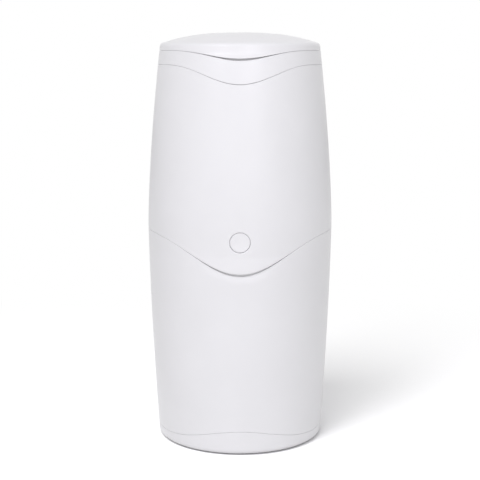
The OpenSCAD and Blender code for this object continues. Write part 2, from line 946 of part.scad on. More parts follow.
module clamp_frame() {
    color(pale)
        difference() {
            union() {
                along_z(frame_low_z, frame_z, 0, 0, frame_r);
                for (side = [-1, 1])
                    translate([0, side * (rail_in + rail_t / 2), 0])
                        block([-rail_half_l, -rail_t / 2, rail_low_z],
                            [rail_half_l, rail_t / 2, frame_z - frame_t / 2]);
                for (side = [-1, 1])
                    translate([side * (stop_x + stop_t / 2), 0, 0])
                        block([-stop_t / 2, -stop_half_w, jaw_low_z],
                            [stop_t / 2, stop_half_w, frame_z - frame_t / 2]);
            }
            along_z(frame_low_z - over, frame_z + over, 0, 0, chute_r + chute_t + fit);
            for (side = [-1, 1])
                translate([0, side * (rail_in + (tongue_out - over) / 2), tongue_z - fit])
                    block([-far, -(tongue_out + over) / 2, 0],
                        [far, (tongue_out + over) / 2, tongue_h + 2 * fit]);
            at_posts()
                along_z(frame_low_z - over, frame_z + over, 0, 0, screw_r + fit);
            at_lugs()
                along_z(frame_low_z - over, frame_z + over, 0, 0, screw_r + fit);
            at_cutter_screws()
                along_z(frame_low_z - over, frame_z + over, 0, 0, screw_r + fit);
            along_x(-far, far, 0, jaw_axis_z, guide_r + run);
        }
}

module frame_screws() {
    color(steel) {
        at_posts()
            translate([0, 0, frame_low_z])
                screw(post_screw_grip);
        at_lugs()
            translate([0, 0, frame_z])
                mirror([0, 0, 1])
                    screw(lug_screw_grip);
    }
}

// Rods inside the jaw springs, fixed in the frame's end stops
module spring_guides() {
    color(steel)
        for (side = [-1, 1])
            along_x(side > 0 ? guide_x : -stop_x - stop_t, side > 0 ? stop_x + stop_t : -guide_x,
                0, jaw_axis_z, guide_r);
}

module right_spring() {
    color(steel)
        translate([0, 0, jaw_axis_z])
            spring(pocket_x, stop_x - pocket_x, jaw_spring_r, jaw_wire_r, jaw_spring_turns);
}

module left_spring() {
    color(steel)
        translate([0, 0, jaw_axis_z])
            rotate([0, 0, 180])
                spring(pocket_x, stop_x - pocket_x, jaw_spring_r, jaw_wire_r, jaw_spring_turns);
}

// The jaw on the +X side: a plate with tongues in the rails and a pocket for its spring
module jaw() {
    face_x = meet_gap + lip_t;
    difference() {
        union() {
            front_profile(-jaw_half_w, jaw_half_w, [
                [face_x, jaw_low_z + jaw_slope[1] / 2], [face_x, jaw_top_z - jaw_slope[1]],
                [face_x + jaw_slope[0], jaw_top_z], [jaw_len, jaw_top_z], [jaw_len, jaw_low_z],
                [face_x + jaw_slope[0] / 2, jaw_low_z]
            ]);
            block([face_x + jaw_slope[0], -jaw_half_w - tongue_out, tongue_z],
                [jaw_len, jaw_half_w + tongue_out, tongue_z + tongue_h]);
        }
        along_x(pocket_x, jaw_len + over, 0, jaw_axis_z, pocket_r);
    }
}

// The soft lip on the face of the jaw on the +X side
module jaw_lip() {
    low = jaw_low_z + jaw_slope[1] / 2;
    high = jaw_top_z - jaw_slope[1];
    front_profile(-jaw_half_w, jaw_half_w, [
        [meet_gap, low + lip_slope], [meet_gap, high - lip_slope],
        [meet_gap + lip_t, high], [meet_gap + lip_t, low]
    ]);
}

module right_jaw() {
    color(pale)
        jaw();
}

module left_jaw() {
    color(pale)
        rotate([0, 0, 180])
            jaw();
}

module right_jaw_lip() {
    color(grey)
        jaw_lip();
}

module left_jaw_lip() {
    color(grey)
        rotate([0, 0, 180])
            jaw_lip();
}

// Outline of the cutter's blade, in (x, z), with its slanting edge across the slot
function blade_outline() = [
    [blade_edge_x, cutter_low_z + cut_slot_h], [cut_slot_end_x, cutter_low_z + blade_low],
    [cut_slot_end_x + blade_in, cutter_low_z + blade_low],
    [cut_slot_end_x + blade_in, cutter_low_z + cut_slot_h + blade_in],
    [blade_edge_x, cutter_low_z + cut_slot_h + blade_in]
];

module cutter_body() {
    color(grey)
        difference() {
            block([-cutter_half_w, cutter_y - cutter_half_t, cutter_low_z],
                [cutter_half_w, cutter_y + cutter_half_t, frame_low_z]);
            block([-cutter_half_w - over, cutter_y - cut_slot_half_t, cutter_low_z - over],
                [cut_slot_end_x, cutter_y + cut_slot_half_t, cutter_low_z + cut_slot_h]);
            front_profile(cutter_y - blade_half_t - run, cutter_y + blade_half_t + run, [
                [blade_edge_x - run, cutter_low_z + cut_slot_h - eps],
                [cut_slot_end_x - eps, cutter_low_z + blade_low - run],
                [cut_slot_end_x + blade_in + run, cutter_low_z + blade_low - run],
                [cut_slot_end_x + blade_in + run, cutter_low_z + cut_slot_h + blade_in + run],
                [blade_edge_x - run, cutter_low_z + cut_slot_h + blade_in + run]
            ]);
            at_cutter_screws()
                along_z(frame_z - cutter_screw_grip - eps, frame_low_z + over, 0, 0, screw_r + run);
        }
}

module cutter_blade() {
    color(steel)
        front_profile(cutter_y - blade_half_t, cutter_y + blade_half_t, blade_outline());
}

module cutter_screws() {
    color(steel)
        at_cutter_screws()
            translate([0, 0, frame_z])
                mirror([0, 0, 1])
                    screw(cutter_screw_grip);
}

// Ring-shaped trough for the film
module cassette_body() {
    in_h = cassette_h - film_exit_h;
    color(pale)
        translate([0, 0, tray_floor_z])
            rotate_extrude($fn = 96)
                polygon([
                    [cassette_hole_r, 0], [cassette_r - cassette_edge, 0],
                    [cassette_r, cassette_edge], [cassette_r, cassette_h],
                    [cassette_r - cassette_t, cassette_h], [cassette_r - cassette_t, cassette_floor_t],
                    [cassette_hole_r + cassette_t, cassette_floor_t], [cassette_hole_r + cassette_t, in_h],
                    [cassette_hole_r + cassette_t / 2, in_h + cassette_t / 2], [cassette_hole_r, in_h]
                ]);
}

// Lid of the trough, with a slot at its inner edge that the film leaves by
module cassette_cap() {
    in_r = cassette_hole_r + cap_in;
    plug_r = cassette_r - cassette_t - fit / 2;
    lip_r = cassette_r + cap_lip;
    color(white)
        translate([0, 0, cassette_top_z])
            rotate_extrude($fn = 96)
                polygon([
                    [in_r, -cap_skirt_h], [in_r + cap_skirt_t, -cap_skirt_h], [in_r + cap_skirt_t, 0],
                    [plug_r - cassette_t, 0], [plug_r - cassette_t, -cap_plug_h], [plug_r, -cap_plug_h],
                    [plug_r, 0], [lip_r, 0], [lip_r, cap_t - cap_edge], [lip_r - cap_edge, cap_t],
                    [in_r + cap_edge, cap_t], [in_r, cap_t - cap_edge]
                ]);
}

// Film, folded into a stack of pleats round the hole
module film_pack() {
    low = tray_floor_z + cassette_floor_t;
    high = cassette_top_z - film_down;
    out_r = cassette_r - film_side;
    in_r = cassette_hole_r + film_side;
    step = (high - low) / film_folds;
    color(film)
        rotate_extrude($fn = 96)
            polygon(concat(
                [for (i = [0 : film_folds - 1], side = [0, 1])
                    [out_r - film_fold * (1 - side), low + step * (i + side / 2)]],
                [[out_r - film_fold, high], [in_r + film_fold, high]],
                [for (i = [film_folds - 1 : -1 : 0], side = [1, 0])
                    [in_r + film_fold * (1 - side), low + step * (i + side / 2)]]));
}

// Round button with a dished face, a lip that holds it in its guide and a stem to the lever
module button() {
    back_y = collar_y + fit + button_lip_t;
    dish_r = (pow(button_r - button_land, 2) + pow(button_dish, 2)) / (2 * button_dish);
    color(white)
        difference() {
            union() {
                along_y(button_y, back_y, 0, button_z, button_r);
                along_y(collar_y + fit, back_y, 0, button_z, button_r + button_lip);
                along_y(back_y - eps, lever_y - fit, 0, button_z, stem_r);
            }
            translate([0, button_y + button_dish - dish_r, button_z])
                sphere(r = dish_r, $fn = 96);
            difference() {
                along_y(button_y + button_wall, back_y + over, 0, button_z, button_r - button_wall);
                along_y(button_y, back_y + 2 * over, 0, button_z, stem_r);
            }
        }
}

// Lever that hangs behind the button, with a nose under the catch
module latch_lever() {
    nose_y = lever_y - nose_out;
    low_z = nose_z - nose_h;
    color(pale)
        difference() {
            union() {
                side_profile(-lever_half_w, lever_half_w, [
                    [lever_y, pivot_z + lever_top], [lever_y, nose_z], [nose_y, nose_z],
                    [nose_y, nose_z - nose_tip_h], [lever_y, low_z], [lever_y + lever_t, low_z],
                    [lever_y + lever_t, pivot_z + lever_top]
                ]);
                along_x(-lever_half_w, lever_half_w, pivot_y, pivot_z, lever_hub_r);
            }
            along_x(-far, far, pivot_y, pivot_z, pivot_r + run);
        }
}

module latch_bracket() {
    color(pale)
        difference() {
            union() {
                block([-bracket_half_w, bracket_face_y, pivot_z - bracket_half_h],
                    [bracket_half_w, bracket_face_y + bracket_t, pivot_z + bracket_half_h]);
                for (x = [-bracket_in - bracket_t, bracket_in])
                    block([x, bracket_face_y + bracket_t / 2, pivot_z - bracket_half_h + cheek_in],
                        [x + bracket_t, bracket_back_y, pivot_z + bracket_half_h - cheek_in]);
            }
            along_x(-far, far, pivot_y, pivot_z, pivot_r + run);
            for (x = [-bracket_screw_x, bracket_screw_x])
                along_y(bracket_face_y - over, bracket_face_y + bracket_t + over,
                    x, pivot_z, screw_r + fit);
        }
}

module bracket_screws() {
    color(steel)
        for (x = [-bracket_screw_x, bracket_screw_x])
            translate([x, bracket_face_y + bracket_t, pivot_z])
                rotate([90, 0, 0])
                    screw(bracket_screw_grip);
}

module latch_pin() {
    end_x = bracket_in + bracket_t;
    color(steel) {
        along_x(-end_x - pin_in, end_x + pin_head_h, pivot_y, pivot_z, pivot_r);
        along_x(end_x, end_x + pin_head_h, pivot_y, pivot_z, pin_head_r);
    }
}

// Spring between the head's wall and the lever's upper arm
module latch_spring() {
    color(steel)
        translate([0, 0, latch_spring_z])
            rotate([0, 0, 90])
                spring(latch_seat_y, lever_y - latch_seat_y,
                    latch_spring_r, latch_wire_r, latch_spring_turns);
}

// Profile of the lid's crown from the middle out, offset inwards, then round the edge
function lid_outline(depth, low) = let (
        edge_r = body_r(edge_z) - lid_round,
        lean = atan(crown * crown_power / crown_ref_r * pow(edge_r / crown_ref_r, crown_power - 1)),
        flat = 8,
        kink = lid_mid_z + lid_lip_h
    ) concat(
        [for (i = [0 : flat]) [edge_r * i / flat, crown_z(edge_r * i / flat) - depth]],
        [for (i = [1 : round_steps]) let (a = (90 - lean) * (1 - i / round_steps))
            [edge_r + (lid_round - depth) * cos(a), edge_z + (lid_round - depth) * sin(a)]],
        [for (z = [kink, low]) [body_r(z) + lip_r(z, kink, lid_mid_z, lid_lip_out) - depth, z]]
    );

module lid_shell() {
    boss_in_z = crown_z(liner_screw_ring_r - boss_r) - lid_wall;
    boss_top = (boss_in_z + crown_z(liner_screw_ring_r + boss_r)) / 2;
    outer = lid_outline(0, lid_mid_z);
    inner = lid_outline(lid_wall, lid_mid_z);
    color(white)
        difference() {
            union() {
                difference() {
                    rotate_extrude($fn = 120)
                        polygon(concat(outer, [for (i = [len(inner) - 1 : -1 : 0]) inner[i]]));
                    under_lid();
                }
                ring_of(screw_count, liner_screw_ring_r, screw_turn)
                    along_z(liner_low_z + liner_cup_h, boss_top, 0, 0, boss_r);
                lid_knuckle();
            }
            ring_of(screw_count, liner_screw_ring_r, screw_turn)
                along_z(liner_low_z, liner_low_z + liner_cup_h - liner_t + liner_screw_grip + eps,
                    0, 0, screw_r + run);
            for (x = [-lid_hinge_half_w, lid_mid_half_w + knuckle_gap])
                along_x(x - knuckle_reach, x + lid_knuckle_len + knuckle_reach, lid_hinge_y, lid_z,
                    lid_knuckle_r + knuckle_space);
            lid_hinge_bore();
        }
}

// The lid's knuckle and the web that carries it
module lid_knuckle() {
    top_z = edge_z + lid_web_up;
    root_y = lid_hinge_y - lid_web_root;
    along_x(-lid_mid_half_w, lid_mid_half_w, lid_hinge_y, lid_z, lid_knuckle_r);
    difference() {
        side_profile(-lid_mid_half_w, lid_mid_half_w, [
            [root_y, lid_z], [lid_hinge_y + lid_knuckle_r, lid_z],
            [lid_hinge_y + lid_knuckle_r, lid_z + lid_web_flat_h],
            [body_r(top_z) - eps, top_z], [root_y, top_z]
        ]);
        core(lid_z - over, rim_z, lid_wall - eps / 2);
    }
}

// Inner shell of the lid: a plug in the ring's mouth, a flange over the seal and the filter's pocket
module lid_liner() {
    roof_z = liner_low_z + cover_t + filter_t;
    color(pale)
        difference() {
            union() {
                tube(liner_r, liner_r - liner_t, liner_low_z, liner_flange_z + liner_t);
                tube(liner_flange_r, liner_r - liner_t / 2, liner_flange_z, liner_flange_z + liner_t);
                along_z(liner_low_z, liner_low_z + liner_t, 0, 0, liner_r - liner_t / 2);
                along_z(liner_low_z, roof_z + liner_t, 0, 0, filter_pocket_r + pocket_wall);
                ring_of(screw_count, liner_screw_ring_r, screw_turn)
                    along_z(liner_low_z, liner_low_z + liner_cup_h, 0, 0, liner_cup_r);
            }
            along_z(liner_low_z - over, roof_z, 0, 0, filter_pocket_r);
            ring_of(screw_count, liner_screw_ring_r, screw_turn) {
                along_z(liner_low_z - over, liner_low_z + liner_cup_h - liner_t, 0, 0, screw_head_r + fit);
                along_z(liner_low_z, liner_low_z + liner_cup_h + over, 0, 0, screw_r + fit);
            }
        }
}

module liner_screws() {
    color(steel)
        ring_of(screw_count, liner_screw_ring_r, screw_turn)
            translate([0, 0, liner_low_z + liner_cup_h - liner_t])
                screw(liner_screw_grip);
}

module carbon_filter() {
    color(dark)
        along_z(liner_low_z + cover_t, liner_low_z + cover_t + filter_t, 0, 0, filter_r);
}

module filter_cover() {
    color(white)
        difference() {
            union() {
                along_z(liner_low_z, liner_low_z + cover_t, 0, 0, filter_pocket_r - fit);
                block([-pull_half_l, -pull_half_w, liner_low_z - pull_h],
                    [pull_half_l, pull_half_w, liner_low_z + eps]);
            }
            ring_of(filter_slots, 0, 180 / filter_slots)
                block([pull_half_l + slot_half_w, -slot_half_w, liner_low_z - over],
                    [filter_r - slot_edge, slot_half_w, liner_low_z + cover_t + over]);
        }
}

module lid_seal() {
    point_z = ring_top_z + fit;
    color(grey)
        rotate_extrude($fn = 96)
            polygon([
                [seal_r - seal_half_w, liner_flange_z], [seal_r - seal_half_w, point_z + seal_point_h],
                [seal_r - seal_half_w / 2, point_z], [seal_r + seal_half_w / 2, point_z],
                [seal_r + seal_half_w, point_z + seal_point_h], [seal_r + seal_half_w, liner_flange_z]
            ]);
}

module lid_pin() {
    color(steel)
        along_x(-lid_hinge_half_w + eps, lid_hinge_half_w - eps, lid_hinge_y, lid_z, lid_pin_r);
}

base_cap();
foot_pads();
base_screws();
lower_shell();
catch_leaf();
catch_screws();
hinge_pin();
upper_shell();
top_ring();
cassette_tray();
chute_sleeve();
tray_screws();
clamp_frame();
frame_screws();
spring_guides();
left_spring();
right_spring();
left_jaw();
left_jaw_lip();
right_jaw();
right_jaw_lip();
cutter_body();
cutter_blade();
cutter_screws();
cassette_body();
cassette_cap();
film_pack();
button();
latch_lever();
latch_bracket();
bracket_screws();
latch_pin();
latch_spring();
lid_shell();
lid_liner();
liner_screws();
carbon_filter();
filter_cover();
lid_seal();
lid_pin();
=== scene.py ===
"""Looks of a nappy bin on its CAD frame: fine moulded shells, springs, film, finishes and a studio.

Metres, +Z up, front towards -Y. Angles go round the barrel from its front towards +X.
"""

import json
import math

import bmesh
import bpy
import mathutils
import numpy as np
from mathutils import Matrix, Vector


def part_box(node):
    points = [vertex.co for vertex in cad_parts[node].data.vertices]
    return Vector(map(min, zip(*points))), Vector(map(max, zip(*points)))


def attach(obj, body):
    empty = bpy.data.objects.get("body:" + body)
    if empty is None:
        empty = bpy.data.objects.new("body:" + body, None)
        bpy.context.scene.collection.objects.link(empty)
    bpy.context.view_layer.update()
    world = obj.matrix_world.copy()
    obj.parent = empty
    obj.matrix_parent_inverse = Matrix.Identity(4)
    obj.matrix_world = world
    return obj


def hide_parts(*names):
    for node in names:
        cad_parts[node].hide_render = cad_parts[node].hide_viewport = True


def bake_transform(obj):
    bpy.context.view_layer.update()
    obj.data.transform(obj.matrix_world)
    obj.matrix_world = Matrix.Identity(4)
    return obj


bl_info = {
    "name": "Nappy bin",
    "version": (1, 0, 0),
    "blender": (4, 5, 0),
    "location": "3D View > Sidebar > Nappy bin",
    "description": "Makes the shells, small parts, finishes and studio of a nappy bin",
    "category": "Object",
}

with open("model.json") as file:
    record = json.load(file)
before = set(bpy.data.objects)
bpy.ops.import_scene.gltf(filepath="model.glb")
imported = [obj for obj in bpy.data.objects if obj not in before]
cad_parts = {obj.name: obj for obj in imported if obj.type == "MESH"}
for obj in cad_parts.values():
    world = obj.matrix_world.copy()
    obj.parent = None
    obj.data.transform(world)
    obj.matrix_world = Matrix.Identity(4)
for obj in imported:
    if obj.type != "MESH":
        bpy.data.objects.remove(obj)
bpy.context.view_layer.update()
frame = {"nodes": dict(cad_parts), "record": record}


def length(name, text, value):
    return bpy.props.FloatProperty(
        name=name, description=text, default=value, min=0, precision=4, unit="LENGTH"
    )


def number(name, text, value):
    return bpy.props.FloatProperty(name=name, description=text, default=value, min=0)


def count(name, text, value):
    return bpy.props.IntProperty(name=name, description=text, default=value, min=3)


def colour(name, text, value):
    return bpy.props.FloatVectorProperty(
        name=name, description=text, default=value, min=0, max=1, size=3, subtype="COLOR"
    )


class BinBarrel(bpy.types.PropertyGroup):
    """Sizes of the turned barrel that all the outer shells share."""

    waist_r: length("Waist radius", "Radius at the widest place", 0.120)
    waist_z: length("Waist height", "Height of the widest place", 0.285)
    rim_r: length("Rim radius", "Radius at the lid's rim", 0.1025)
    rim_z: length("Rim height", "Height of the lid's rim", 0.513)
    foot_r: length("Foot radius", "Radius at the floor", 0.108)
    bow: number("Bow", "How soon the barrel curves in from its waist", 1.5)
    wall: length("Wall", "Thickness of the shells", 0.003)
    edge: length("Edge rounding", "Rounding of the shells' edges", 0.0003)
    foot_round: length("Foot rounding", "Rounding of the bottom edge", 0.007)
    foot_z: length("Pad height", "How far the pads hold the cap off the floor", 0.0012)
    screws_r: length("Screw circle", "Radius of the base screws' circle", 0.090)
    pads_r: length("Pad circle", "Radius of the pads' circle", 0.089)
    columns: count("Columns", "Faces round the barrel", 320)


class BinLines(bpy.types.PropertyGroup):
    """Parting lines: each is level at the back and waves at the front."""

    part_z: length("Parting height", "Line between head and lower bin at the back", 0.277)
    part_mid_z: length("Parting height, front", "Lowest point of that line", 0.235)
    part_half_w: length("Parting width", "Half the width of its wave", 0.117)
    part_gap: length("Parting gap", "Gap at that line", 0.001)
    part_rise: length("Parting rise", "How far the lower shell's edge rises from that line", 0.0007)
    part_drop: length("Parting drop", "How far it drops at the lip's middle", 0.0032)
    ring_z: length("Ring height", "Top ring's lower line at the back", 0.4883)
    ring_mid_z: length("Ring height, front", "Lowest point of that line", 0.4653)
    ring_half_w: length("Ring width", "Half the width of its wave", 0.088)
    lid_z: length("Lid height", "Lid's edge at the back", 0.507)
    lid_mid_z: length("Lid height, front", "Lowest point of the lid's edge", 0.4965)
    lid_half_w: length("Lid width", "Half the width of its wave", 0.082)
    lid_gap: length("Lid gap", "Gap between the lid and the top ring", 0.0012)
    lid_drop: length("Lid drop", "How far the lid's edge drops at its sides", 0.0010)
    ring_drop: length("Ring drop", "How far the ring's edge drops at the lid's lip", 0.0016)
    base_z: length("Base height", "Base cap's edge at the back", 0.0157)
    base_mid_z: length("Base height, front", "Highest point of that edge", 0.0317)
    base_half_w: length("Base width", "Half the width of its wave", 0.104)
    base_groove: length("Base groove", "Width of the groove above the base cap", 0.0003)
    groove: length("Groove", "Width of the groove under the top ring, at its front", 0.0005)
    thumb: length("Thumb hollow", "Depth of the hollow under the head's lip", 0.0024)
    thumb_w: length("Thumb hollow width", "Half the width of that hollow", 0.040)
    thumb_h: length("Thumb hollow height", "Height of that hollow", 0.012)


class BinLips(bpy.types.PropertyGroup):
    """Finger lips at the front of the head and of the lid, and the lid's crown."""

    flap_h: length("Flap lip height", "Height of the flared part of the head", 0.022)
    flap_out: length("Flap lip", "How far the head's lip stands out", 0.003)
    roll: length("Rolled lip", "How far the head's lip rolls in at its lowest point", 0.0006)
    roll_h: length("Rolled lip height", "Height of the rolled part there", 0.003)
    lid_h: length("Lid lip height", "Height of the flared part of the lid", 0.0065)
    lid_out: length("Lid lip", "How far the lid's lip stands out", 0.0025)
    crown: length("Crown", "Rise of the lid above its rim", 0.0155)
    crown_r: length("Crown radius", "Radius at which the crown meets the rim's height", 0.106)
    crown_power: number("Crown power", "How flat the crown is in the middle", 2.6)
    edge_z: length("Lid edge height", "Height where the crown's rounding starts", 0.510651)
    edge_round: length("Lid edge rounding", "Rounding between crown and side", 0.005)
    lid_wall: length("Lid wall", "Thickness of the lid", 0.0025)


class BinButton(bpy.types.PropertyGroup):
    """The round button and the hole and guide that it slides in."""

    z: length("Height", "Height of the button's middle", 0.275)
    r: length("Radius", "Radius of the button", 0.0125)
    face_y: length("Face", "How far the face lies in front of the axis", 0.1180)
    hole_r: length("Hole", "Radius of its hole", 0.0128)
    guide_r: length("Guide", "Outer radius of the guide behind the wall", 0.0150)
    guide_y: length("Guide end", "How far the guide's end lies in front of the axis", 0.1135)
    lip_r: length("Lip", "Radius of the lip that holds the button in", 0.0147)
    stem_r: length("Stem", "Radius of the stem", 0.0025)
    stem_y: length("Stem end", "How far the stem's end lies in front of the axis", 0.1007)
    dish: length("Dish", "Depth of the dished face", 0.0007)
    fillet: length("Hole rounding", "Rounding of the hole's mouth", 0.0012)
    edge: length("Button rounding", "Rounding of the button's rim", 0.0012)


class BinHinges(bpy.types.PropertyGroup):
    """Rear hinge between the halves, and the lid's hinge on the top ring."""

    y: length("Rear hinge", "How far the rear axis lies behind the middle", 0.1195)
    z: length("Rear hinge height", "Height of the rear axis", 0.277)
    half_w: length("Rear hinge width", "Half the length of the rear hinge", 0.032)
    r: length("Rear knuckle", "Radius of its knuckles", 0.005)
    pin_r: length("Rear bore", "Radius of its bore", 0.00182)
    tail: length("Tail", "Height of the tails that carry the knuckles", 0.024)
    lid_y: length("Lid hinge", "How far the lid's axis lies behind the middle", 0.104086)
    lid_z: length("Lid hinge height", "Height of the lid's axis", 0.507)
    lid_half_w: length("Lid hinge width", "Half the length of the lid's hinge", 0.028)
    lid_r: length("Lid knuckle", "Radius of its knuckles", 0.004)
    lid_pin_r: length("Lid bore", "Radius of its bore", 0.00132)
    knuckle: length("Ring knuckle", "Length of each of the ring's knuckles", 0.010)
    lid_skin: length("Skin at the lid's hinge", "Radius of the skin there", 0.1032)
    gap: length("Knuckle gap", "Gap between neighbouring knuckles", 0.0006)
    room: length("Knuckle room", "Room round a knuckle in the other shell", 0.0008)


class BinInside(bpy.types.PropertyGroup):
    """Sizes of what the shells hide: mouth, cassette, springs, filter and seal."""

    open_r: length("Ring opening", "Radius of the top ring's opening", 0.088)
    plate_z: length("Rim plate", "Height of the top ring's plate", 0.5058)
    floor_z: length("Floor", "Height of the lower bin's floor", 0.0212)
    land_out: length("Land", "Depth under the skin of the lands behind the lines", 0.0026)
    land_in: length("Land, inside", "Depth of their inner side", 0.0042)
    sleeve_out: length("Sleeve", "Depth under the skin of the sleeves that plug into a shell", 0.0035)
    sleeve_in: length("Sleeve, inside", "Depth of their inner side", 0.0055)
    spring_r: length("Jaw spring", "Radius of a jaw spring", 0.0038)
    wire_r: length("Jaw wire", "Radius of its wire", 0.0006)
    latch_spring_r: length("Latch spring", "Radius of the latch spring", 0.0034)
    latch_wire_r: length("Latch wire", "Radius of its wire", 0.00045)
    film_folds: count("Film folds", "Pleats in the film pack", 44)
    seal_r: length("Seal", "Radius of the lid's seal", 0.093)


class BinFinish(bpy.types.PropertyGroup):
    """Colours and gloss of the finishes."""

    white: colour("White shell", "Moulded shells", (0.872, 0.868, 0.878))
    inner: colour("Inner plastic", "Parts inside the head and the lid", (0.78, 0.785, 0.80))
    cassette: colour("Cassette", "Film cassette", (0.80, 0.83, 0.85))
    grey: colour("Grey plastic", "Cutter", (0.30, 0.32, 0.34))
    rubber: colour("Rubber", "Pads, seal and jaw lips", (0.20, 0.21, 0.225))
    film: colour("Film", "Pleated film", (0.76, 0.84, 0.88))
    carbon: colour("Carbon foam", "Filter", (0.022, 0.023, 0.025))
    steel: colour("Steel", "Screws, pins and springs", (0.56, 0.57, 0.58))
    gloss: number("Roughness", "Roughness of the shells", 0.36)


class BinStudio(bpy.types.PropertyGroup):
    """Camera, lights and floor."""

    camera_y: length("Camera distance", "How far the camera stands in front", 1.5126)
    camera_z: length("Camera height", "Height of the camera", 0.512)
    camera_down: bpy.props.FloatProperty(
        name="Camera pitch",
        description="How far the camera looks down",
        default=math.radians(9.5),
        subtype="ANGLE",
    )
    lens: number("Lens", "Focal length in millimetres on a 36 mm sensor", 87.16)
    room: number("Room light", "Strength of the even light from the room", 0.55)
    key: number("Key light", "Power of the soft light at the front left", 16.6)
    fill: number("Fill light", "Power of the soft light over the front", 18.8)
    rear: number("Rear light", "Power of the light behind, which all but the floor receives", 15.0)
    shade: number("Floor light", "Power of the light that the floor alone receives", 49.0)
    floor: colour("Floor", "Colour of the floor", (0.47, 0.47, 0.47))
    cool: colour("Light colour", "Colour of the two soft lights", (0.945, 0.930, 1.0))
    lift: number("Floor lift", "Light that the camera alone sees on the floor", 0.0)


def props():
    return bpy.context.scene.nappy_bin


class NappyBin(bpy.types.PropertyGroup):
    """All the settings of the bin."""

    barrel: bpy.props.PointerProperty(type=BinBarrel)
    lines: bpy.props.PointerProperty(type=BinLines)
    lips: bpy.props.PointerProperty(type=BinLips)
    button: bpy.props.PointerProperty(type=BinButton)
    hinges: bpy.props.PointerProperty(type=BinHinges)
    inside: bpy.props.PointerProperty(type=BinInside)
    finish: bpy.props.PointerProperty(type=BinFinish)
    studio: bpy.props.PointerProperty(type=BinStudio)


# ---------------------------------------------------------------- surfaces


def body_r(z):
    """Radius of the skin at height z: the waist's, less a power of the way to the foot or to the rim."""
    b = props().barrel
    low = np.clip((b.waist_z - z) / b.waist_z, 0, None)
    high = np.clip((z - b.waist_z) / (b.rim_z - b.waist_z), 0, None)
    return b.waist_r - (b.waist_r - b.foot_r) * low**b.bow - (b.waist_r - b.rim_r) * high**b.bow


def head_r(z):
    """The head's skin: the barrel's, plus a lip that grows with a power of the way down its flared part."""
    lips, kink = props().lips, props().lines.part_mid_z + props().lips.flap_h
    return body_r(z) + lips.flap_out * np.clip((kink - z) / lips.flap_h, 0, 1) ** 1.12


def lid_r(z):
    """The lid's side: the barrel's skin, plus a lip that grows in the same way."""
    lips, kink = props().lips, props().lines.lid_mid_z + props().lips.lid_h
    return body_r(z) + lips.lid_out * np.clip((kink - z) / lips.lid_h, 0, 1.2) ** 1.2


def crown_z(r):
    """Height of the crown at radius r: highest in the middle, less a power of the radius."""
    lips = props().lips
    return props().barrel.rim_z + lips.crown * (1 - (r / lips.crown_r) ** lips.crown_power)


def crown_slope(r):
    """How steeply the crown falls at radius r."""
    lips = props().lips
    return lips.crown * lips.crown_power / lips.crown_r * (r / lips.crown_r) ** (lips.crown_power - 1)


def line_z(angles, mid, side, half_w, skin):
    """Height of a parting line at each angle: a cosine wave over x at the front.

    x is r(z) sin(angle), so height and x are met step by step.
    """
    z = np.full_like(angles, side)
    for _ in range(14):
        share = np.minimum(np.abs(skin(z) * np.sin(angles)) / half_w, 1)
        z = np.where(np.cos(angles) > 0, side + (mid - side) * (1 + np.cos(np.pi * share)) / 2, side)
    return z


def part_line(angles, skin=head_r):
    n = props().lines
    return line_z(angles, n.part_mid_z, n.part_z, n.part_half_w, skin)


def ring_line(angles):
    n = props().lines
    return line_z(angles, n.ring_mid_z, n.ring_z, n.ring_half_w, body_r)


def lid_line(angles):
    n = props().lines
    return line_z(angles, n.lid_mid_z, n.lid_z, n.lid_half_w, body_r)


def base_line(angles):
    n = props().lines
    return line_z(angles, n.base_mid_z, n.base_z, n.base_half_w, body_r)


def wave_share(line, mid, side):
    """How far a line has waved at each angle: 0 where it is level, 1 at its middle."""
    return np.clip((line - side) / (mid - side), 0, 1)


def to_front(angles):
    """1 round the front and the sides, fading to 0 towards the back."""
    return np.clip(0.6 + np.cos(angles), 0, 1)


def around(r, z, angles):
    """Points at radius r, height z and an angle from the front."""
    return np.stack(np.broadcast_arrays(r * np.sin(angles), -r * np.cos(angles), z), -1)


def columns(*steps):
    """Even angles round the barrel, with a pair of close columns at each step x of the back."""
    turn = np.linspace(-np.pi, np.pi, props().barrel.columns, endpoint=False)
    pairs = [
        np.pi - side * np.arcsin(x / r) for x, r in steps for side in (-1, 1) for x in (x - 1e-4, x + 1e-4)
    ]
    pairs = (np.array(pairs) + np.pi) % (2 * np.pi) - np.pi
    near = np.abs(turn[:, None] - pairs[None]).min(1) < 0.004 if len(pairs) else np.zeros(len(turn), bool)
    return np.sort(np.concatenate([turn[~near], pairs]))


def grid(points, close_rows=False, close_columns=False):
    """Quads over a grid of points [row, column, xyz], facing (next column) x (next row)."""
    rows, cols = points.shape[:2]
    index = np.arange(rows * cols).reshape(rows, cols)
    if close_columns:
        index = np.hstack([index, index[:, :1]])
    if close_rows:
        index = np.vstack([index, index[:1]])
    quads = np.stack([index[:-1, :-1], index[:-1, 1:], index[1:, 1:], index[1:, :-1]], -1)
    return points.reshape(-1, 3), quads.reshape(-1, 4)


def join(*surfaces):
    starts = np.cumsum([0] + [len(points) for points, _ in surfaces[:-1]])
    return (
        np.vstack([points for points, _ in surfaces]),
        np.vstack([quads + start for (_, quads), start in zip(surfaces, starts)]),
    )


def quarter(steps=5):
    return np.linspace(0, np.pi / 2, steps + 1)


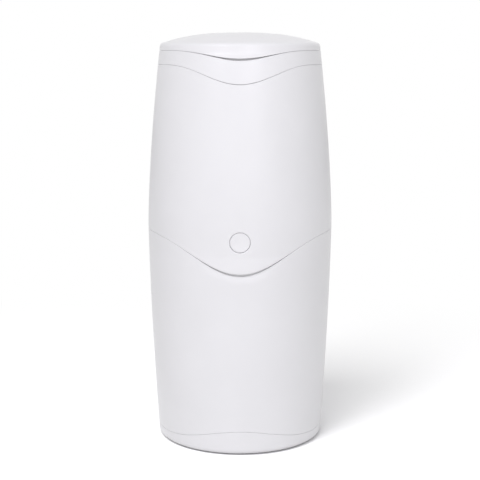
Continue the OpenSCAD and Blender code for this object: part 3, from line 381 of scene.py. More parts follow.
def wall_loop(outer, inner, rounding, height, rows):
    """Closed cross-section of a wall: depth under the skin, share of the way up and shift from there.

    Outer side up, over the top, inner side down and back under, with a quarter turn at each corner.
    """
    t = quarter()
    pad = 1.2 * rounding / height
    up = np.concatenate([[pad], np.linspace(0, 1, rows + 1)[1:-1], [1 - pad]])
    depth = [
        outer + rounding * (1 - np.sin(t)), np.full(len(up), outer), outer + rounding * (1 - np.cos(t)),
        inner - rounding * (1 - np.sin(t)), np.full(len(up), inner), inner - rounding * (1 - np.cos(t)),
    ]
    share = [0 * t, up, 0 * t + 1, 0 * t + 1, up[::-1], 0 * t]
    shift = [
        rounding * (1 - np.cos(t)), rounding * (1 - 2 * up), -rounding * (1 - np.sin(t)),
        -rounding * (1 - np.cos(t)), rounding * (1 - 2 * up[::-1]), rounding * (1 - np.sin(t)),
    ]
    return np.concatenate(depth), np.concatenate(share), np.concatenate(shift)


def wall_points(angles, low, high, skin, outer, inner, rounding, rows, hollow=None):
    """A wall_loop carried round the barrel between two lines, under a skin of radius skin(z).

    hollow(angles, z) is how far the outer side is pressed in.
    """
    depth, share, shift = wall_loop(outer, inner, rounding, float(np.mean(high - low)), rows)
    z = low * (1 - share[:, None]) + high * share[:, None] + shift[:, None]
    r = skin(z) - depth[:, None]
    if hollow:
        r = r - hollow(angles, z) * (1 - (depth[:, None] - outer) / (inner - outer))
    return around(r, z, angles)


def band(angles, low, high, skin, outer, inner, rounding=0.0004, rows=8, full=True, hollow=None):
    """A wall between two lines. Where it doesn't go all the way round, its two ends are closed."""
    points = wall_points(angles, low, high, skin, outer, inner, rounding, rows, hollow)
    if full:
        return grid(points, True, True)
    half = len(points) // 2
    left, right = points[:, 0], points[:, -1]
    return join(
        grid(points, close_rows=True),
        grid(np.stack([left[:half - 1 : -1], left[:half]], 1)),
        grid(np.stack([right[:half], right[:half - 1 : -1]], 1)),
    )


def turned(profile, sides=96, centre=(0.0, 0.0), closed=True):
    """A profile of (r, z) turned round a vertical axis, up on its outer side."""
    turn = np.linspace(-np.pi, np.pi, sides, endpoint=False)
    r, z = np.asarray(profile, float).T
    points = around(r[:, None], z[:, None], turn) + np.array([*centre, 0.0])
    return grid(points, closed, True)


def facing(surface, axis, place):
    """A surface round the Z axis laid along another axis and moved to its place."""
    points, quads = surface
    x, y, z = points.T
    laid = {"x": (z, x, y), "y": (x, -z, y)}[axis]
    return np.stack(laid, -1) + np.asarray(place, float), quads


def chamfered(r_out, r_in, low, high, edge):
    """Profile of a round tube with small rounded edges."""
    t = quarter(3)
    return np.concatenate([
        np.stack([r_out - edge * (1 - np.sin(t)), low + edge * (1 - np.cos(t))], 1),
        np.stack([r_out - edge * (1 - np.cos(t)), high - edge * (1 - np.sin(t))], 1),
        np.stack([r_in + edge * (1 - np.sin(t)), high - edge * (1 - np.cos(t))], 1),
        np.stack([r_in + edge * (1 - np.cos(t)), low + edge * (1 - np.sin(t))], 1),
    ])


def tube_x(x0, x1, y, z, r_out, r_in, edge=0.0004, sides=64):
    return facing(turned(chamfered(r_out, r_in, 0, x1 - x0, edge), sides), "x", (x0, y, z))


def slab(outer, inner):
    """A closed block between two grids of points, the outer one facing (next column) x (next row)."""
    rim_out = np.concatenate([outer[0, :-1], outer[:-1, -1], outer[-1, :0:-1], outer[:0:-1, 0]])
    rim_in = np.concatenate([inner[0, :-1], inner[:-1, -1], inner[-1, :0:-1], inner[:0:-1, 0]])
    return join(grid(outer), grid(inner[:, ::-1]), grid(np.stack([rim_in, rim_out]), close_columns=True))


def tail(x0, x1, heights, out_y, in_depth):
    """A rib on the back of a shell: its outer face at out_y(z), its inner one a depth under the skin."""
    x = np.linspace(x1, x0, 9)
    z = np.asarray(heights, float)[:, None]
    flat = np.zeros((len(z), len(x)))
    out = np.stack([x + flat, out_y(z) + flat, z + flat], -1)
    skin_y = np.sqrt((body_r(z) - in_depth) ** 2 - x**2)
    return slab(out, np.stack([x + flat, np.minimum(skin_y, out[..., 1] - 5e-4), z + flat], -1))


def coil(start, pitch, turns, r, wire, axis, steps=36, sides=12):
    """A wire of even pitch wound round a line, with the grid's columns round the wire."""
    a = np.linspace(0, 2 * np.pi * turns, int(turns * steps) + 1)[:, None]
    b = np.linspace(2 * np.pi, 0, sides, endpoint=False)[None]
    lean = math.atan2(pitch, 2 * math.pi * r)
    radial, along = wire * np.cos(b), wire * np.sin(b)
    x = (r + radial) * np.cos(a) + along * math.sin(lean) * np.sin(a)
    y = (r + radial) * np.sin(a) - along * math.sin(lean) * np.cos(a)
    z = pitch * a / (2 * np.pi) + along * math.cos(lean)
    wound = np.stack([x, y, z], -1)
    ends = [np.repeat(wound[i].mean(0)[None, None], sides, 1) for i in (0, -1)]
    points, quads = grid(np.concatenate([ends[0], wound, ends[1]]), close_columns=True)
    return facing((points, quads), axis, start)


# ---------------------------------------------------------------- pieces


def piece(name, surface, finish, body, replaces=(), sharp=38):
    """Makes a piece of the object from a surface, closes its seams and poles and lets it ride on a body."""
    points, quads = surface
    mesh = bpy.data.meshes.new(name)
    mesh.from_pydata(points.tolist(), [], quads.tolist())
    made = bmesh.new()
    made.from_mesh(mesh)
    bmesh.ops.remove_doubles(made, verts=made.verts, dist=2e-7)
    bmesh.ops.dissolve_degenerate(made, edges=made.edges, dist=1e-8)
    made.to_mesh(mesh)
    made.free()
    mesh.shade_smooth()
    mesh.set_sharp_from_angle(angle=math.radians(sharp))
    mesh.materials.append(finish)
    thing = bpy.data.objects.new(name, mesh)
    bpy.context.scene.collection.objects.link(thing)
    if body:
        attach(thing, body)
    if replaces:
        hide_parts(*replaces)
    return thing


def block(low, high, turn=0.0):
    """A plain box, turned about the vertical axis by an angle from the back of the barrel."""
    x_ends, y_ends, z_ends = zip(low, high)
    corners = np.array([[x, y, z] for z in z_ends for y in y_ends for x in x_ends])
    c, s = math.cos(turn), math.sin(turn)
    corners[:, :2] = corners[:, :2] @ np.array([[c, -s], [s, c]])
    faces = [[0, 2, 3, 1], [4, 5, 7, 6], [0, 1, 5, 4], [2, 6, 7, 3], [0, 4, 6, 2], [1, 3, 7, 5]]
    return corners, np.array(faces)


def post(r, low, high, x, y, edge=0.0004, sides=40):
    """A round post between two heights, with its edges rounded."""
    t = quarter(3)
    foot = np.stack([r - edge * (1 - np.sin(t)), low + edge * (1 - np.cos(t))], 1)
    head = np.stack([r - edge * (1 - np.cos(t)), high - edge * (1 - np.sin(t))], 1)
    profile = np.concatenate([[[0, low]], foot, head, [[0, high]]])
    return turned(profile, sides, (x, y), closed=False)


def disc(r, low, high, sides=160, centre=(0.0, 0.0)):
    return turned([(0, low), (r, low), (r, high), (0, high)], sides, centre, closed=False)


def four(r, first=45):
    """Four places at radius r, a quarter turn apart."""
    turns = [math.radians(first + 90 * i) for i in range(4)]
    return [(r * math.cos(a), r * math.sin(a)) for a in turns]


def knuckle_spans():
    """Ends of the five rear knuckles along X: 0, 2 and 4 belong to the lower bin, 1 and 3 to the head."""
    h = props().hinges
    step = (2 * h.half_w) / 5
    return [(-h.half_w + i * step + h.gap / 2, -h.half_w + (i + 1) * step - h.gap / 2) for i in range(5)]


def behind(angles, r, low_x, high_x):
    """Which angles lie at the back with |x| between two values."""
    x = np.abs(r * np.sin(angles))
    return (np.cos(angles) < 0) & (x > low_x) & (x < high_x)


def swung(flat, end, start_y, end_y):
    """A tail's outer face over its height: level at start_y, then half a cosine wave to end_y."""

    def out_y(z):
        share = np.clip((z - flat) / (end - flat), 0, 1)
        return start_y + (end_y - start_y) * (0.5 - 0.5 * np.cos(np.pi * share))

    return out_y


def rear_knuckles(which, way):
    """Knuckles with their bores, and the tails that carry them down (-1) or up (1) the barrel."""
    h, wall = props().hinges, props().barrel.wall
    flat, end = h.z + way * 0.007, h.z + way * h.tail
    end_y = math.sqrt(body_r(end) ** 2 - h.half_w**2) - 0.001
    out_y = swung(flat, end, h.y + h.r, end_y)
    heights = np.sort(np.linspace(h.z + way * 0.0005, end, 22))
    made = []
    for i in which:
        x0, x1 = knuckle_spans()[i]
        made += [tube_x(x0, x1, h.y, h.z, h.r, h.pin_r), tail(x0, x1, heights, out_y, wall / 2)]
    return made


def cut(thing, cutter):
    """Takes a closed surface out of a piece and keeps its corners crisp."""
    tool = bpy.data.objects.new("tool", bpy.data.meshes.new("tool"))
    tool.data.from_pydata(cutter[0].tolist(), [], cutter[1].tolist())
    made = bmesh.new()
    made.from_mesh(tool.data)
    bmesh.ops.remove_doubles(made, verts=made.verts, dist=2e-7)
    made.to_mesh(tool.data)
    made.free()
    bpy.context.scene.collection.objects.link(tool)
    change = thing.modifiers.new("Cut", "BOOLEAN")
    change.object, change.operation, change.solver = tool, "DIFFERENCE", "EXACT"
    bpy.context.view_layer.update()
    result = bpy.data.meshes.new_from_object(thing.evaluated_get(bpy.context.evaluated_depsgraph_get()))
    thing.modifiers.remove(change)
    thing.data = result
    result.shade_smooth()
    result.set_sharp_from_angle(angle=math.radians(30))
    bpy.data.objects.remove(tool)


# ---------------------------------------------------------------- finishes


def textured(name, tint, roughness, grain, depth, mottle=0.02, spread=0.05, cells=False, **constants):
    """A finish with fine relief, a slow change of colour and uneven gloss, all in the object's own space."""
    finish = bpy.data.materials.new(name)
    finish.use_nodes = True
    nodes, links = finish.node_tree.nodes, finish.node_tree.links
    shader = nodes["Principled BSDF"]
    place, mapping = nodes.new("ShaderNodeTexCoord"), nodes.new("ShaderNodeMapping")
    mapping.inputs["Location"].default_value = (0, 0, -0.26)
    links.new(place.outputs["Object"], mapping.inputs["Vector"])

    def noise(scale, detail, rough=0.55):
        made = nodes.new("ShaderNodeTexNoise")
        made.inputs["Scale"].default_value = scale
        made.inputs["Detail"].default_value = detail
        made.inputs["Roughness"].default_value = rough
        links.new(mapping.outputs["Vector"], made.inputs["Vector"])
        return made.outputs["Fac"]

    def ranged(value, low, high, start=0.3, end=0.7):
        made = nodes.new("ShaderNodeMapRange")
        made.inputs["From Min"].default_value, made.inputs["From Max"].default_value = start, end
        made.inputs["To Min"].default_value, made.inputs["To Max"].default_value = low, high
        links.new(value, made.inputs["Value"])
        return made.outputs["Result"]

    mix = nodes.new("ShaderNodeMix")
    mix.data_type = "RGBA"
    links.new(ranged(noise(14, 3), 0, 1), mix.inputs["Factor"])
    mix.inputs["A"].default_value = (*[c * (1 - mottle) for c in tint], 1)
    mix.inputs["B"].default_value = (*[min(c * (1 + mottle), 1) for c in tint], 1)
    links.new(mix.outputs["Result"], shader.inputs["Base Color"])
    links.new(ranged(noise(60, 4), roughness - spread, roughness + spread), shader.inputs["Roughness"])
    if cells:
        pores = nodes.new("ShaderNodeTexVoronoi")
        pores.inputs["Scale"].default_value = grain
        links.new(mapping.outputs["Vector"], pores.inputs["Vector"])
        height = pores.outputs["Distance"]
    else:
        height = noise(grain, 2, 0.6)
    bump = nodes.new("ShaderNodeBump")
    bump.inputs["Strength"].default_value = 0.6
    bump.inputs["Distance"].default_value = depth
    links.new(height, bump.inputs["Height"])
    links.new(bump.outputs["Normal"], shader.inputs["Normal"])
    for socket, value in constants.items():
        shader.inputs[socket.replace("_", " ")].default_value = value
    return finish


def make_finishes():
    f = props().finish
    return {
        "white_shell": textured("white_shell", f.white, f.gloss, 2600, 1.2e-5, 0.012, 0.04),
        "inner_plastic": textured("inner_plastic", f.inner, 0.5, 2200, 2.5e-5, 0.02),
        "cassette_plastic": textured("cassette_plastic", f.cassette, 0.42, 2000, 2e-5, 0.02),
        "grey_plastic": textured("grey_plastic", f.grey, 0.48, 2200, 3e-5, 0.03),
        "grey_rubber": textured("grey_rubber", f.rubber, 0.72, 1800, 4e-5, 0.05, Specular_IOR_Level=0.35),
        "film": textured("film", f.film, 0.24, 420, 1e-4, 0.05, 0.08, Sheen_Weight=0.15),
        "carbon_foam": textured("carbon_foam", f.carbon, 0.92, 900, 5e-4, 0.25, 0.04, cells=True),
        "steel": textured("steel", f.steel, 0.34, 3200, 1.5e-5, 0.06, 0.08, Metallic=1.0, Anisotropic=0.3),
    }


FINISHES = {}


def finish(slot):
    if not FINISHES:
        for old in [m for m in bpy.data.materials if m.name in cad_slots()]:
            old.name = old.name + "_frame"
        FINISHES.update(make_finishes())
    return FINISHES[slot]


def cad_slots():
    return [m["slot"] for m in frame["record"]["materials"]]


# ---------------------------------------------------------------- operators


class NAPPYBIN_OT_base_cap(bpy.types.Operator):
    """Adds the base cap with its rounded foot, the seats of its pads and its screw cups"""

    bl_idname = "nappybin.base_cap"
    bl_label = "Base cap"

    def execute(self, context):
        b = props().barrel
        turn = columns()
        top, turn_z, plate_z = base_line(turn), b.foot_z + b.foot_round, b.foot_z + 0.003
        t, e = quarter(8), b.edge / 2
        inner_r = body_r(turn_z) - b.foot_round
        rows = [(r, b.foot_z) for r in np.linspace(0, inner_r, 6)[:-1]]
        rows += [
            (inner_r + b.foot_round * math.sin(a), turn_z - b.foot_round * math.cos(a)) for a in t
        ]
        straight = top - e - turn_z
        rows += [(body_r(z), z) for z in (turn_z + straight * s for s in np.linspace(0, 1, 12)[1:-1])]
        rows += [(body_r(top) - e * (1 - math.cos(a)), top - e * (1 - math.sin(a))) for a in quarter()]
        rows += [
            (body_r(top) - b.wall + e * (1 - math.sin(a)), top - e * (1 - math.cos(a))) for a in quarter()
        ]
        rows += [(body_r(z) - b.wall, z) for z in (top - e - straight * s for s in (0.3, 0.6, 1.0))]
        rows += [(r, plate_z) for r in np.linspace(inner_r, 0, 6)]
        points = np.stack([around(r, z, turn) for r, z in rows])
        surface = grid(points, close_columns=True)
        made = piece("base_cap_fine", surface, finish("white_shell"), "base", ["base_cap"])
        screw_r, pad_r, below, screw_top, pad_top = 0.0039, 0.0093, -0.001, 0.005, 0.003
        holes = [disc(screw_r, below, screw_top, 64, spot) for spot in four(b.screws_r)]
        holes += [disc(pad_r, below, pad_top, 64, spot) for spot in four(b.pads_r, 0)]
        cut(made, join(*holes))
        cup_r, bore_r, low, high = 0.006, 0.002, plate_z - 5e-5, 0.0072
        cup = [(cup_r, low), (cup_r, high), (bore_r, high), (bore_r, low)]
        cups = [turned(cup, 40, spot) for spot in four(b.screws_r)]
        piece("base_cap_cups", join(*cups), finish("white_shell"), "base")
        return {"FINISHED"}


class NAPPYBIN_OT_lower_shell(bpy.types.Operator):
    """Adds the lower bin: wall, floor, mouth and foot sleeves, rear knuckles and the catch's bosses"""

    bl_idname = "nappybin.lower_shell"
    bl_label = "Lower shell"

    def execute(self, context):
        b, n, h, inside = props().barrel, props().lines, props().hinges, props().inside
        spans = knuckle_spans()
        near, far = spans[3][0] - h.gap / 2, spans[3][1] + h.gap / 2
        turn = columns((near, h.y), (far, h.y))
        line = part_line(turn, body_r)
        low = base_line(turn) + n.base_groove
        wave = wave_share(line, n.part_mid_z, n.part_z)
        high = line + n.part_rise * to_front(turn) - n.part_drop * wave**3
        high = np.where(behind(turn, h.y, near, far), h.z - h.r - h.room, high)

        def thumb(angles, z):
            """A hollow that deepens towards the lip and fades out at both sides."""
            rise = np.clip((z - line + n.thumb_h) / n.thumb_h, 0, 1)
            side = np.exp(-((b.waist_r * np.sin(angles) / n.thumb_w) ** 4))
            return n.thumb * rise**2 * (3 - 2 * rise) * side * (np.cos(angles) > 0)

        surfaces = [band(turn, low, high, body_r, 0, b.wall, b.edge, 56, hollow=thumb)]
        plain = columns()
        foot = base_line(plain)
        land, sleeve = (inside.land_out, inside.land_in), (inside.sleeve_out, inside.sleeve_in)
        foot_low, foot_reach, step = 0.0092, 0.008, 0.0013
        foot_sleeve = (0.0033, 0.0053)
        surfaces.append(band(plain, np.full_like(plain, foot_low), foot + foot_reach, body_r, *foot_sleeve))
        surfaces.append(band(plain, foot + n.base_groove + step, foot + foot_reach, body_r, *land))
        floor_r = float(body_r(0.02)) - inside.land_in
        surfaces.append(disc(floor_r, inside.floor_z - b.wall, inside.floor_z))
        hinge_room, mouth_r = 0.038, 0.1165
        limit = np.pi - math.asin(hinge_room / mouth_r)
        part = np.linspace(-limit, limit, 280)
        mouth, land_low, land_high, mouth_land = part_line(part, body_r), 0.0085, 0.0042, (0.0026, 0.0045)
        surfaces.append(
            band(part, mouth - land_low, mouth - land_high, body_r, *mouth_land, full=False, rows=4))
        mouth_low, mouth_high = 0.008, 0.006
        surfaces.append(band(part, mouth - mouth_low, mouth + mouth_high, body_r, *sleeve, full=False))
        surfaces += rear_knuckles((0, 2, 4), -1)
        boss_r, boss_length, boss_x, boss_y, boss_z = 0.004, 0.0062, 0.007, -0.1105, 0.2035
        for x in (-boss_x, boss_x):
            surfaces.append(facing(post(boss_r, 0, boss_length, 0, 0), "y", (x, boss_y, boss_z)))
        pillar_r, pillar_low, pillar_high = 0.005, 0.0072, 0.0187
        surfaces += [post(pillar_r, pillar_low, pillar_high, *spot) for spot in four(b.screws_r)]
        piece("lower_shell_fine", join(*surfaces), finish("white_shell"), "base", ["lower_shell"])
        return {"FINISHED"}


def holed_wall(angles, low, high, skin, wall, rounding, rows, hole_r, hole_z, fillet, hollow):
    """A wall between two lines with a round hole at the front, rounded at both its mouths.

    A window of faces is left out of both sides, and rings run from it to the hole's circle and through it.
    """
    points = wall_points(angles, low, high, skin, 0, wall, rounding, rows, hollow)
    total, count_a = points.shape[:2]
    _, faces = grid(points, True, True)
    middle = int(np.argmin(np.abs(angles)))
    reach = hole_r * 1.45
    span = int(np.searchsorted(angles, reach / skin(hole_z))) - middle
    side = points[: total // 2, middle, 2]
    first = int(np.argmax(side > hole_z - reach)) - 1
    last = int(np.argmax(side > hole_z + reach))
    left, right = middle - span, middle + span
    kept = np.ones((total, count_a), bool)
    kept[first:last, left:right] = False
    kept[total - 1 - last : total - 1 - first, left:right] = False
    faces = faces.reshape(total, count_a, 4)[kept]
    # round the window, anticlockwise as seen from the front
    wide, tall = right - left, last - first
    around_i = [first] * wide + [*range(first, last)] + [last] * wide + [*range(last, first, -1)]
    around_j = [*range(left, right)] + [right] * tall + [*range(right, left, -1)] + [left] * tall
    outer = points[around_i, around_j]
    inner = points[[total - 1 - i for i in around_i], around_j]
    phase = np.arctan2(outer[:, 2] - hole_z, outer[:, 0])

    def ring(r, depth, share=0.0, start=outer):
        x, z = r * np.cos(phase), hole_z + r * np.sin(phase)
        x, z = x * (1 - share) + start[:, 0] * share, z * (1 - share) + start[:, 2] * share
        return np.stack([x, -np.sqrt((skin(z) - depth) ** 2 - x**2), z], -1)

    t = quarter(5)
    rings = [outer]
    rings += [ring(hole_r + fillet, 0, share) for share in (0.72, 0.46, 0.24, 0.08)]
    rings += [ring(hole_r + fillet * (1 - math.sin(a)), fillet * (1 - math.cos(a))) for a in t]
    rings += [ring(hole_r, (wall + fillet) / 2)]
    rings += [ring(hole_r, wall)]
    rings += [ring(hole_r, wall, share, inner) for share in (0.1, 0.4, 0.7)]
    rings += [inner]
    return join((points.reshape(-1, 3), faces), grid(np.stack(rings), close_columns=True))


class NAPPYBIN_OT_upper_shell(bpy.types.Operator):
    """Adds the head: flared wall with the button's hole and guide, lugs, latch bosses and rear knuckles"""

    bl_idname = "nappybin.upper_shell"
    bl_label = "Upper shell"

    def execute(self, context):
        b, n, h, k = props().barrel, props().lines, props().hinges, props().button
        spans = knuckle_spans()
        steps = [spans[2][1] + h.gap / 2, spans[4][0] - h.gap / 2, h.half_w]
        turn = columns(*[(x, h.y) for x in steps])
        low = part_line(turn) + n.part_gap
        free = behind(turn, h.y, -1, steps[0]) | behind(turn, h.y, steps[1], steps[2])
        low = np.where(free, h.z + h.r + h.room, low)
        high = ring_line(turn)
        lips, wave = props().lips, wave_share(part_line(turn), n.part_mid_z, n.part_z)

        def rolled(angles, z):
            """The lip's outer side rolls in by the square of the way down to its edge, most at the front."""
            way = np.clip(1 - (z - low) / lips.roll_h, 0, 1)
            return lips.roll * way**2 * wave**2

        surfaces = [holed_wall(turn, low, high, head_r, b.wall, b.edge, 110, k.hole_r, k.z, k.fillet, rolled)]
        guide_length, boss_r, boss_length = 0.0034, 0.004, 0.0055
        surfaces.append(facing(
            turned(chamfered(k.guide_r, k.hole_r, 0, guide_length, b.edge), 96), "y", (0, -k.guide_y, k.z)))
        low_b, high_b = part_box("bracket_screws")
        screw_head_r, boss_y = 0.0036, -0.112
        screw_x, screw_z = high_b.x - screw_head_r, (low_b.z + high_b.z) / 2
        for x in (-screw_x, screw_x):
            surfaces.append(facing(post(boss_r, 0, boss_length, 0, 0), "y", (x, boss_y, screw_z)))
        for r, size, y in ((boss_r, 0.004, -0.114), (0.0026, 0.0032, boss_y)):
            surfaces.append(facing(post(r, 0, size, 0, 0), "y", (0, y, 0.313)))
        lug_low, lug_high = (-0.005, 0.09697, 0.3855), (0.005, 0.1095, 0.3965)
        surfaces += [block(lug_low, lug_high, math.radians(a)) for a in (30, 150, 210, 330)]
        surfaces += rear_knuckles((1, 3), 1)
        piece("upper_shell_fine", join(*surfaces), finish("white_shell"), "head", ["upper_shell"])
        return {"FINISHED"}


class NAPPYBIN_OT_top_ring(bpy.types.Operator):
    """Adds the top ring: wavy outer wall, inner wall, rim plate, collar and the lid's rear knuckles"""

    bl_idname = "nappybin.top_ring"
    bl_label = "Top ring"

    def execute(self, context):
        b, n, h, inside = props().barrel, props().lines, props().hinges, props().inside
        mid = h.lid_half_w - h.knuckle
        notch = mid - h.gap / 2 + 0.0002
        turn = columns((notch, h.lid_skin))
        line, lid = ring_line(turn), lid_line(turn)
        low = line + n.groove * (0.45 + 0.55 * wave_share(line, n.ring_mid_z, n.ring_z))
        high = lid - n.lid_gap - n.ring_drop * wave_share(lid, n.lid_mid_z, n.lid_z) ** 4
        cut_high = np.where(behind(turn, h.lid_skin, -1, notch), h.lid_z - h.lid_r - h.room, high)
        surfaces = [band(turn, low, cut_high, body_r, 0, b.wall, b.edge, 16)]
        plain = columns()
        line = ring_line(plain)
        land_high = np.minimum(lid_line(plain) - n.lid_gap, inside.plate_z) - 0.0013
        land, sleeve = (inside.land_out, inside.land_in), (inside.sleeve_out, inside.sleeve_in)
        surfaces.append(band(plain, line + n.groove + 0.0013, land_high, body_r, *land))
        top = np.full_like(plain, inside.plate_z)
        surfaces.append(band(plain, line - 0.006, top, body_r, *sleeve, rows=16))
        plate_r, plate_z = float(body_r(inside.plate_z)) - 0.0045, inside.plate_z
        surfaces.append(turned(chamfered(plate_r, inside.open_r, plate_z - 0.0025, plate_z, 0.0006), 200))
        collar_r, collar_low, post_r, post_high, posts_r = 0.090, 0.497, 0.0038, 0.5042, 0.094
        surfaces.append(
            turned(chamfered(collar_r, inside.open_r, collar_low, plate_z - 0.0004, 0.0005), 200))
        surfaces += [post(post_r, collar_low, post_high, *spot) for spot in four(posts_r)]
        flat, end = h.lid_z - 0.005, h.lid_z - 0.016
        end_y = math.sqrt(body_r(end) ** 2 - h.lid_half_w**2) - 0.001
        out_y = swung(flat, end, h.lid_y + h.lid_r, end_y)
        for x0, x1 in ((-h.lid_half_w, -h.lid_half_w + h.knuckle), (h.lid_half_w - h.knuckle, h.lid_half_w)):
            surfaces.append(tube_x(x0, x1, h.lid_y, h.lid_z, h.lid_r, h.lid_pin_r))
            surfaces.append(tail(x0, x1, np.linspace(end, h.lid_z - 2e-4, 16), out_y, b.wall / 2))
        piece("top_ring_fine", join(*surfaces), finish("white_shell"), "head", ["top_ring"])
        return {"FINISHED"}


class NAPPYBIN_OT_lid(bpy.types.Operator):
    """Adds the lid: domed crown, rounded rim with a finger lip at the front, and its rear knuckle"""

    bl_idname = "nappybin.lid"
    bl_label = "Lid"

    def execute(self, context):
        b, s, h = props().barrel, props().lips, props().hinges
        mid = h.lid_half_w - h.knuckle - h.gap
        near, far = h.lid_half_w - h.knuckle - 0.00048, h.lid_half_w + 0.00048
        turn = columns((near, h.lid_skin), (far, h.lid_skin))
        n, low = props().lines, lid_line(turn)
        low = low - n.lid_drop * to_front(turn) * (1 - wave_share(low, n.lid_mid_z, n.lid_z))
        low = np.where(behind(turn, h.lid_skin, near, far), 0.5101, low)

        def outline(depth):
            """(r, z) over the crown and round the edge, under the skin by a depth."""
            centre_r, round_r = float(body_r(s.edge_z)) - s.edge_round, s.edge_round
            start = math.pi / 2
            for _ in range(20):
                r = centre_r + round_r * math.cos(start)
                start = math.atan2(1, crown_slope(r))
            ends = centre_r + round_r * math.cos(start)
            share = np.linspace(0, 1, 44)
            r = ends * np.sin(share * np.pi / 2)
            lean = np.arctan(crown_slope(r))
            crown = np.stack([r - depth * np.sin(lean), crown_z(r) - depth * np.cos(lean)], 1)
            a = np.linspace(start, 0, 14)[1:]
            edge = np.stack([np.cos(a), np.sin(a)], 1) * (round_r - depth) + (centre_r, s.edge_z)
            crown[0, 0] = 0
            return np.concatenate([crown, edge])

        e, wall = b.edge, s.lid_wall
        outer, inner = outline(0), outline(wall)
        rows = [(r, np.full_like(turn, z)) for r, z in inner]
        heights = [s.edge_z + (low + e - s.edge_z) * q for q in np.linspace(0, 1, 9)[1:]]
        rows += [(lid_r(z) - wall, z) for z in heights]
        rows += [(lid_r(low) - wall + e * (1 - math.cos(a)), low + e * (1 - math.sin(a))) for a in quarter()]
        rows += [(lid_r(low) - e * (1 - math.sin(a)), low + e * (1 - math.cos(a))) for a in quarter()]
        rows += [(lid_r(z), z) for z in heights[::-1]]
        rows += [(r, np.full_like(turn, z)) for r, z in outer[::-1]]
        points = np.stack([around(r, z, turn) for r, z in rows])
        surfaces = [grid(points, close_columns=True)]
        surfaces.append(tube_x(-mid, mid, h.lid_y, h.lid_z, h.lid_r, h.lid_pin_r))
        top = s.edge_z + 0.001

        def out_y(z):
            share = np.clip((z - h.lid_z - 0.0015) / (top - h.lid_z - 0.0015), 0, 1)
            return h.lid_y + h.lid_r + (float(body_r(top)) - 0.0005 - h.lid_y - h.lid_r) * share

        surfaces.append(tail(-mid, mid, np.linspace(h.lid_z, top, 12), out_y, wall / 2))
        post_r, post_low, post_high, posts_r = 0.004, 0.5045, 0.5155, 0.064
        surfaces += [post(post_r, post_low, post_high, *spot) for spot in four(posts_r)]
        piece("lid_shell_fine", join(*surfaces), finish("white_shell"), "lid", ["lid_shell"])
        return {"FINISHED"}


class NAPPYBIN_OT_button(bpy.types.Operator):
    """Adds the round button with a rounded edge and a dished face"""

    bl_idname = "nappybin.button"
    bl_label = "Button"

    def execute(self, context):
        k = props().button
        back, lip = k.guide_y - 0.0003 - 0.0019, k.guide_y - 0.0003
        t, e = quarter(6), k.edge
        rim = np.stack([k.r - e * (1 - np.cos(t)), k.face_y - e * (1 - np.sin(t))], 1)
        dish_r = k.r - k.edge - 0.0006
        r = np.linspace(dish_r, 0, 16)
        dish = np.stack([r, k.face_y - k.dish * (1 - (r / dish_r) ** 2) ** 1.2], 1)
        profile = np.concatenate([
            [(0, k.stem_y), (k.stem_r - 3e-4, k.stem_y), (k.stem_r, k.stem_y + 3e-4), (k.stem_r, back),
             (k.lip_r, back), (k.lip_r, lip), (k.r, lip)], rim, dish])
        surface = facing(turned(profile, 120, closed=False), "y", (0, 0, k.z))
        piece("button_fine", surface, finish("white_shell"), "button", ["button"])
        return {"FINISHED"}


class NAPPYBIN_OT_springs(bpy.types.Operator):
    """Adds the two jaw springs and the latch's spring as round wire"""

    bl_idname = "nappybin.springs"
    bl_label = "Springs"

    def execute(self, context):
        inside = props().inside
        ends = {"left_spring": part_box("left_spring"), "right_spring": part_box("right_spring")}
        for name, (low, high) in ends.items():
            seat = inside.wire_r + 5e-5
            start, span = low.x + seat, high.x - low.x - 2 * seat
            y, z = (low.y + high.y) / 2, (low.z + high.z) / 2
            wound = coil((start, y, z), span / 12, 12, inside.spring_r, inside.wire_r, "x")
            made = piece(name + "_wire", wound, finish("steel"), None, [name])
            if name == "right_spring":
                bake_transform(made)
            else:
                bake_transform(made)
        low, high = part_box("latch_spring")
        seat = inside.latch_wire_r + 5e-5
        z, start, span = (low.z + high.z) / 2, high.y - seat, high.y - low.y - 2 * seat
        wound = coil((0, start, z), span / 5, 5, inside.latch_spring_r, inside.latch_wire_r, "y")
        made = piece("latch_spring_wire", wound, finish("steel"), None, ["latch_spring"])
        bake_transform(made)
        return {"FINISHED"}


class NAPPYBIN_OT_film_pack(bpy.types.Operator):
    """Adds the film pack: a ring of film packed in soft uneven pleats"""

    bl_idname = "nappybin.film_pack"
    bl_label = "Film pack"

    def execute(self, context):
        low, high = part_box("film_pack")
        outer_r, inner_r = high.x - 2e-4, 0.0602
        folds = props().inside.film_folds
        turn = np.linspace(-np.pi, np.pi, 180, endpoint=False)
        steps = folds * 4
        share = np.linspace(0, 1, steps + 1)[:, None]
        wander = 0.0004 * np.sin(5 * turn + 9 * share) + 0.0003 * np.sin(11 * turn - 23 * share)
        z = low.z + 3e-4 + (high.z - low.z - 6e-4) * share + 0.3 * wander * np.sin(np.pi * share)
        wave = np.cos(np.pi * np.arange(steps + 1) / 2)[:, None]
        out = outer_r - 0.0011 + 0.0008 * wave - np.abs(wander)
        inn = inner_r + 0.0011 - 0.0008 * wave + np.abs(wander)
        points = np.concatenate([around(out, z, turn), around(inn, z, turn)[::-1]])
        piece("film_pack_pleats", grid(points, True, True), finish("film"), "head", ["film_pack"], sharp=80)
        return {"FINISHED"}


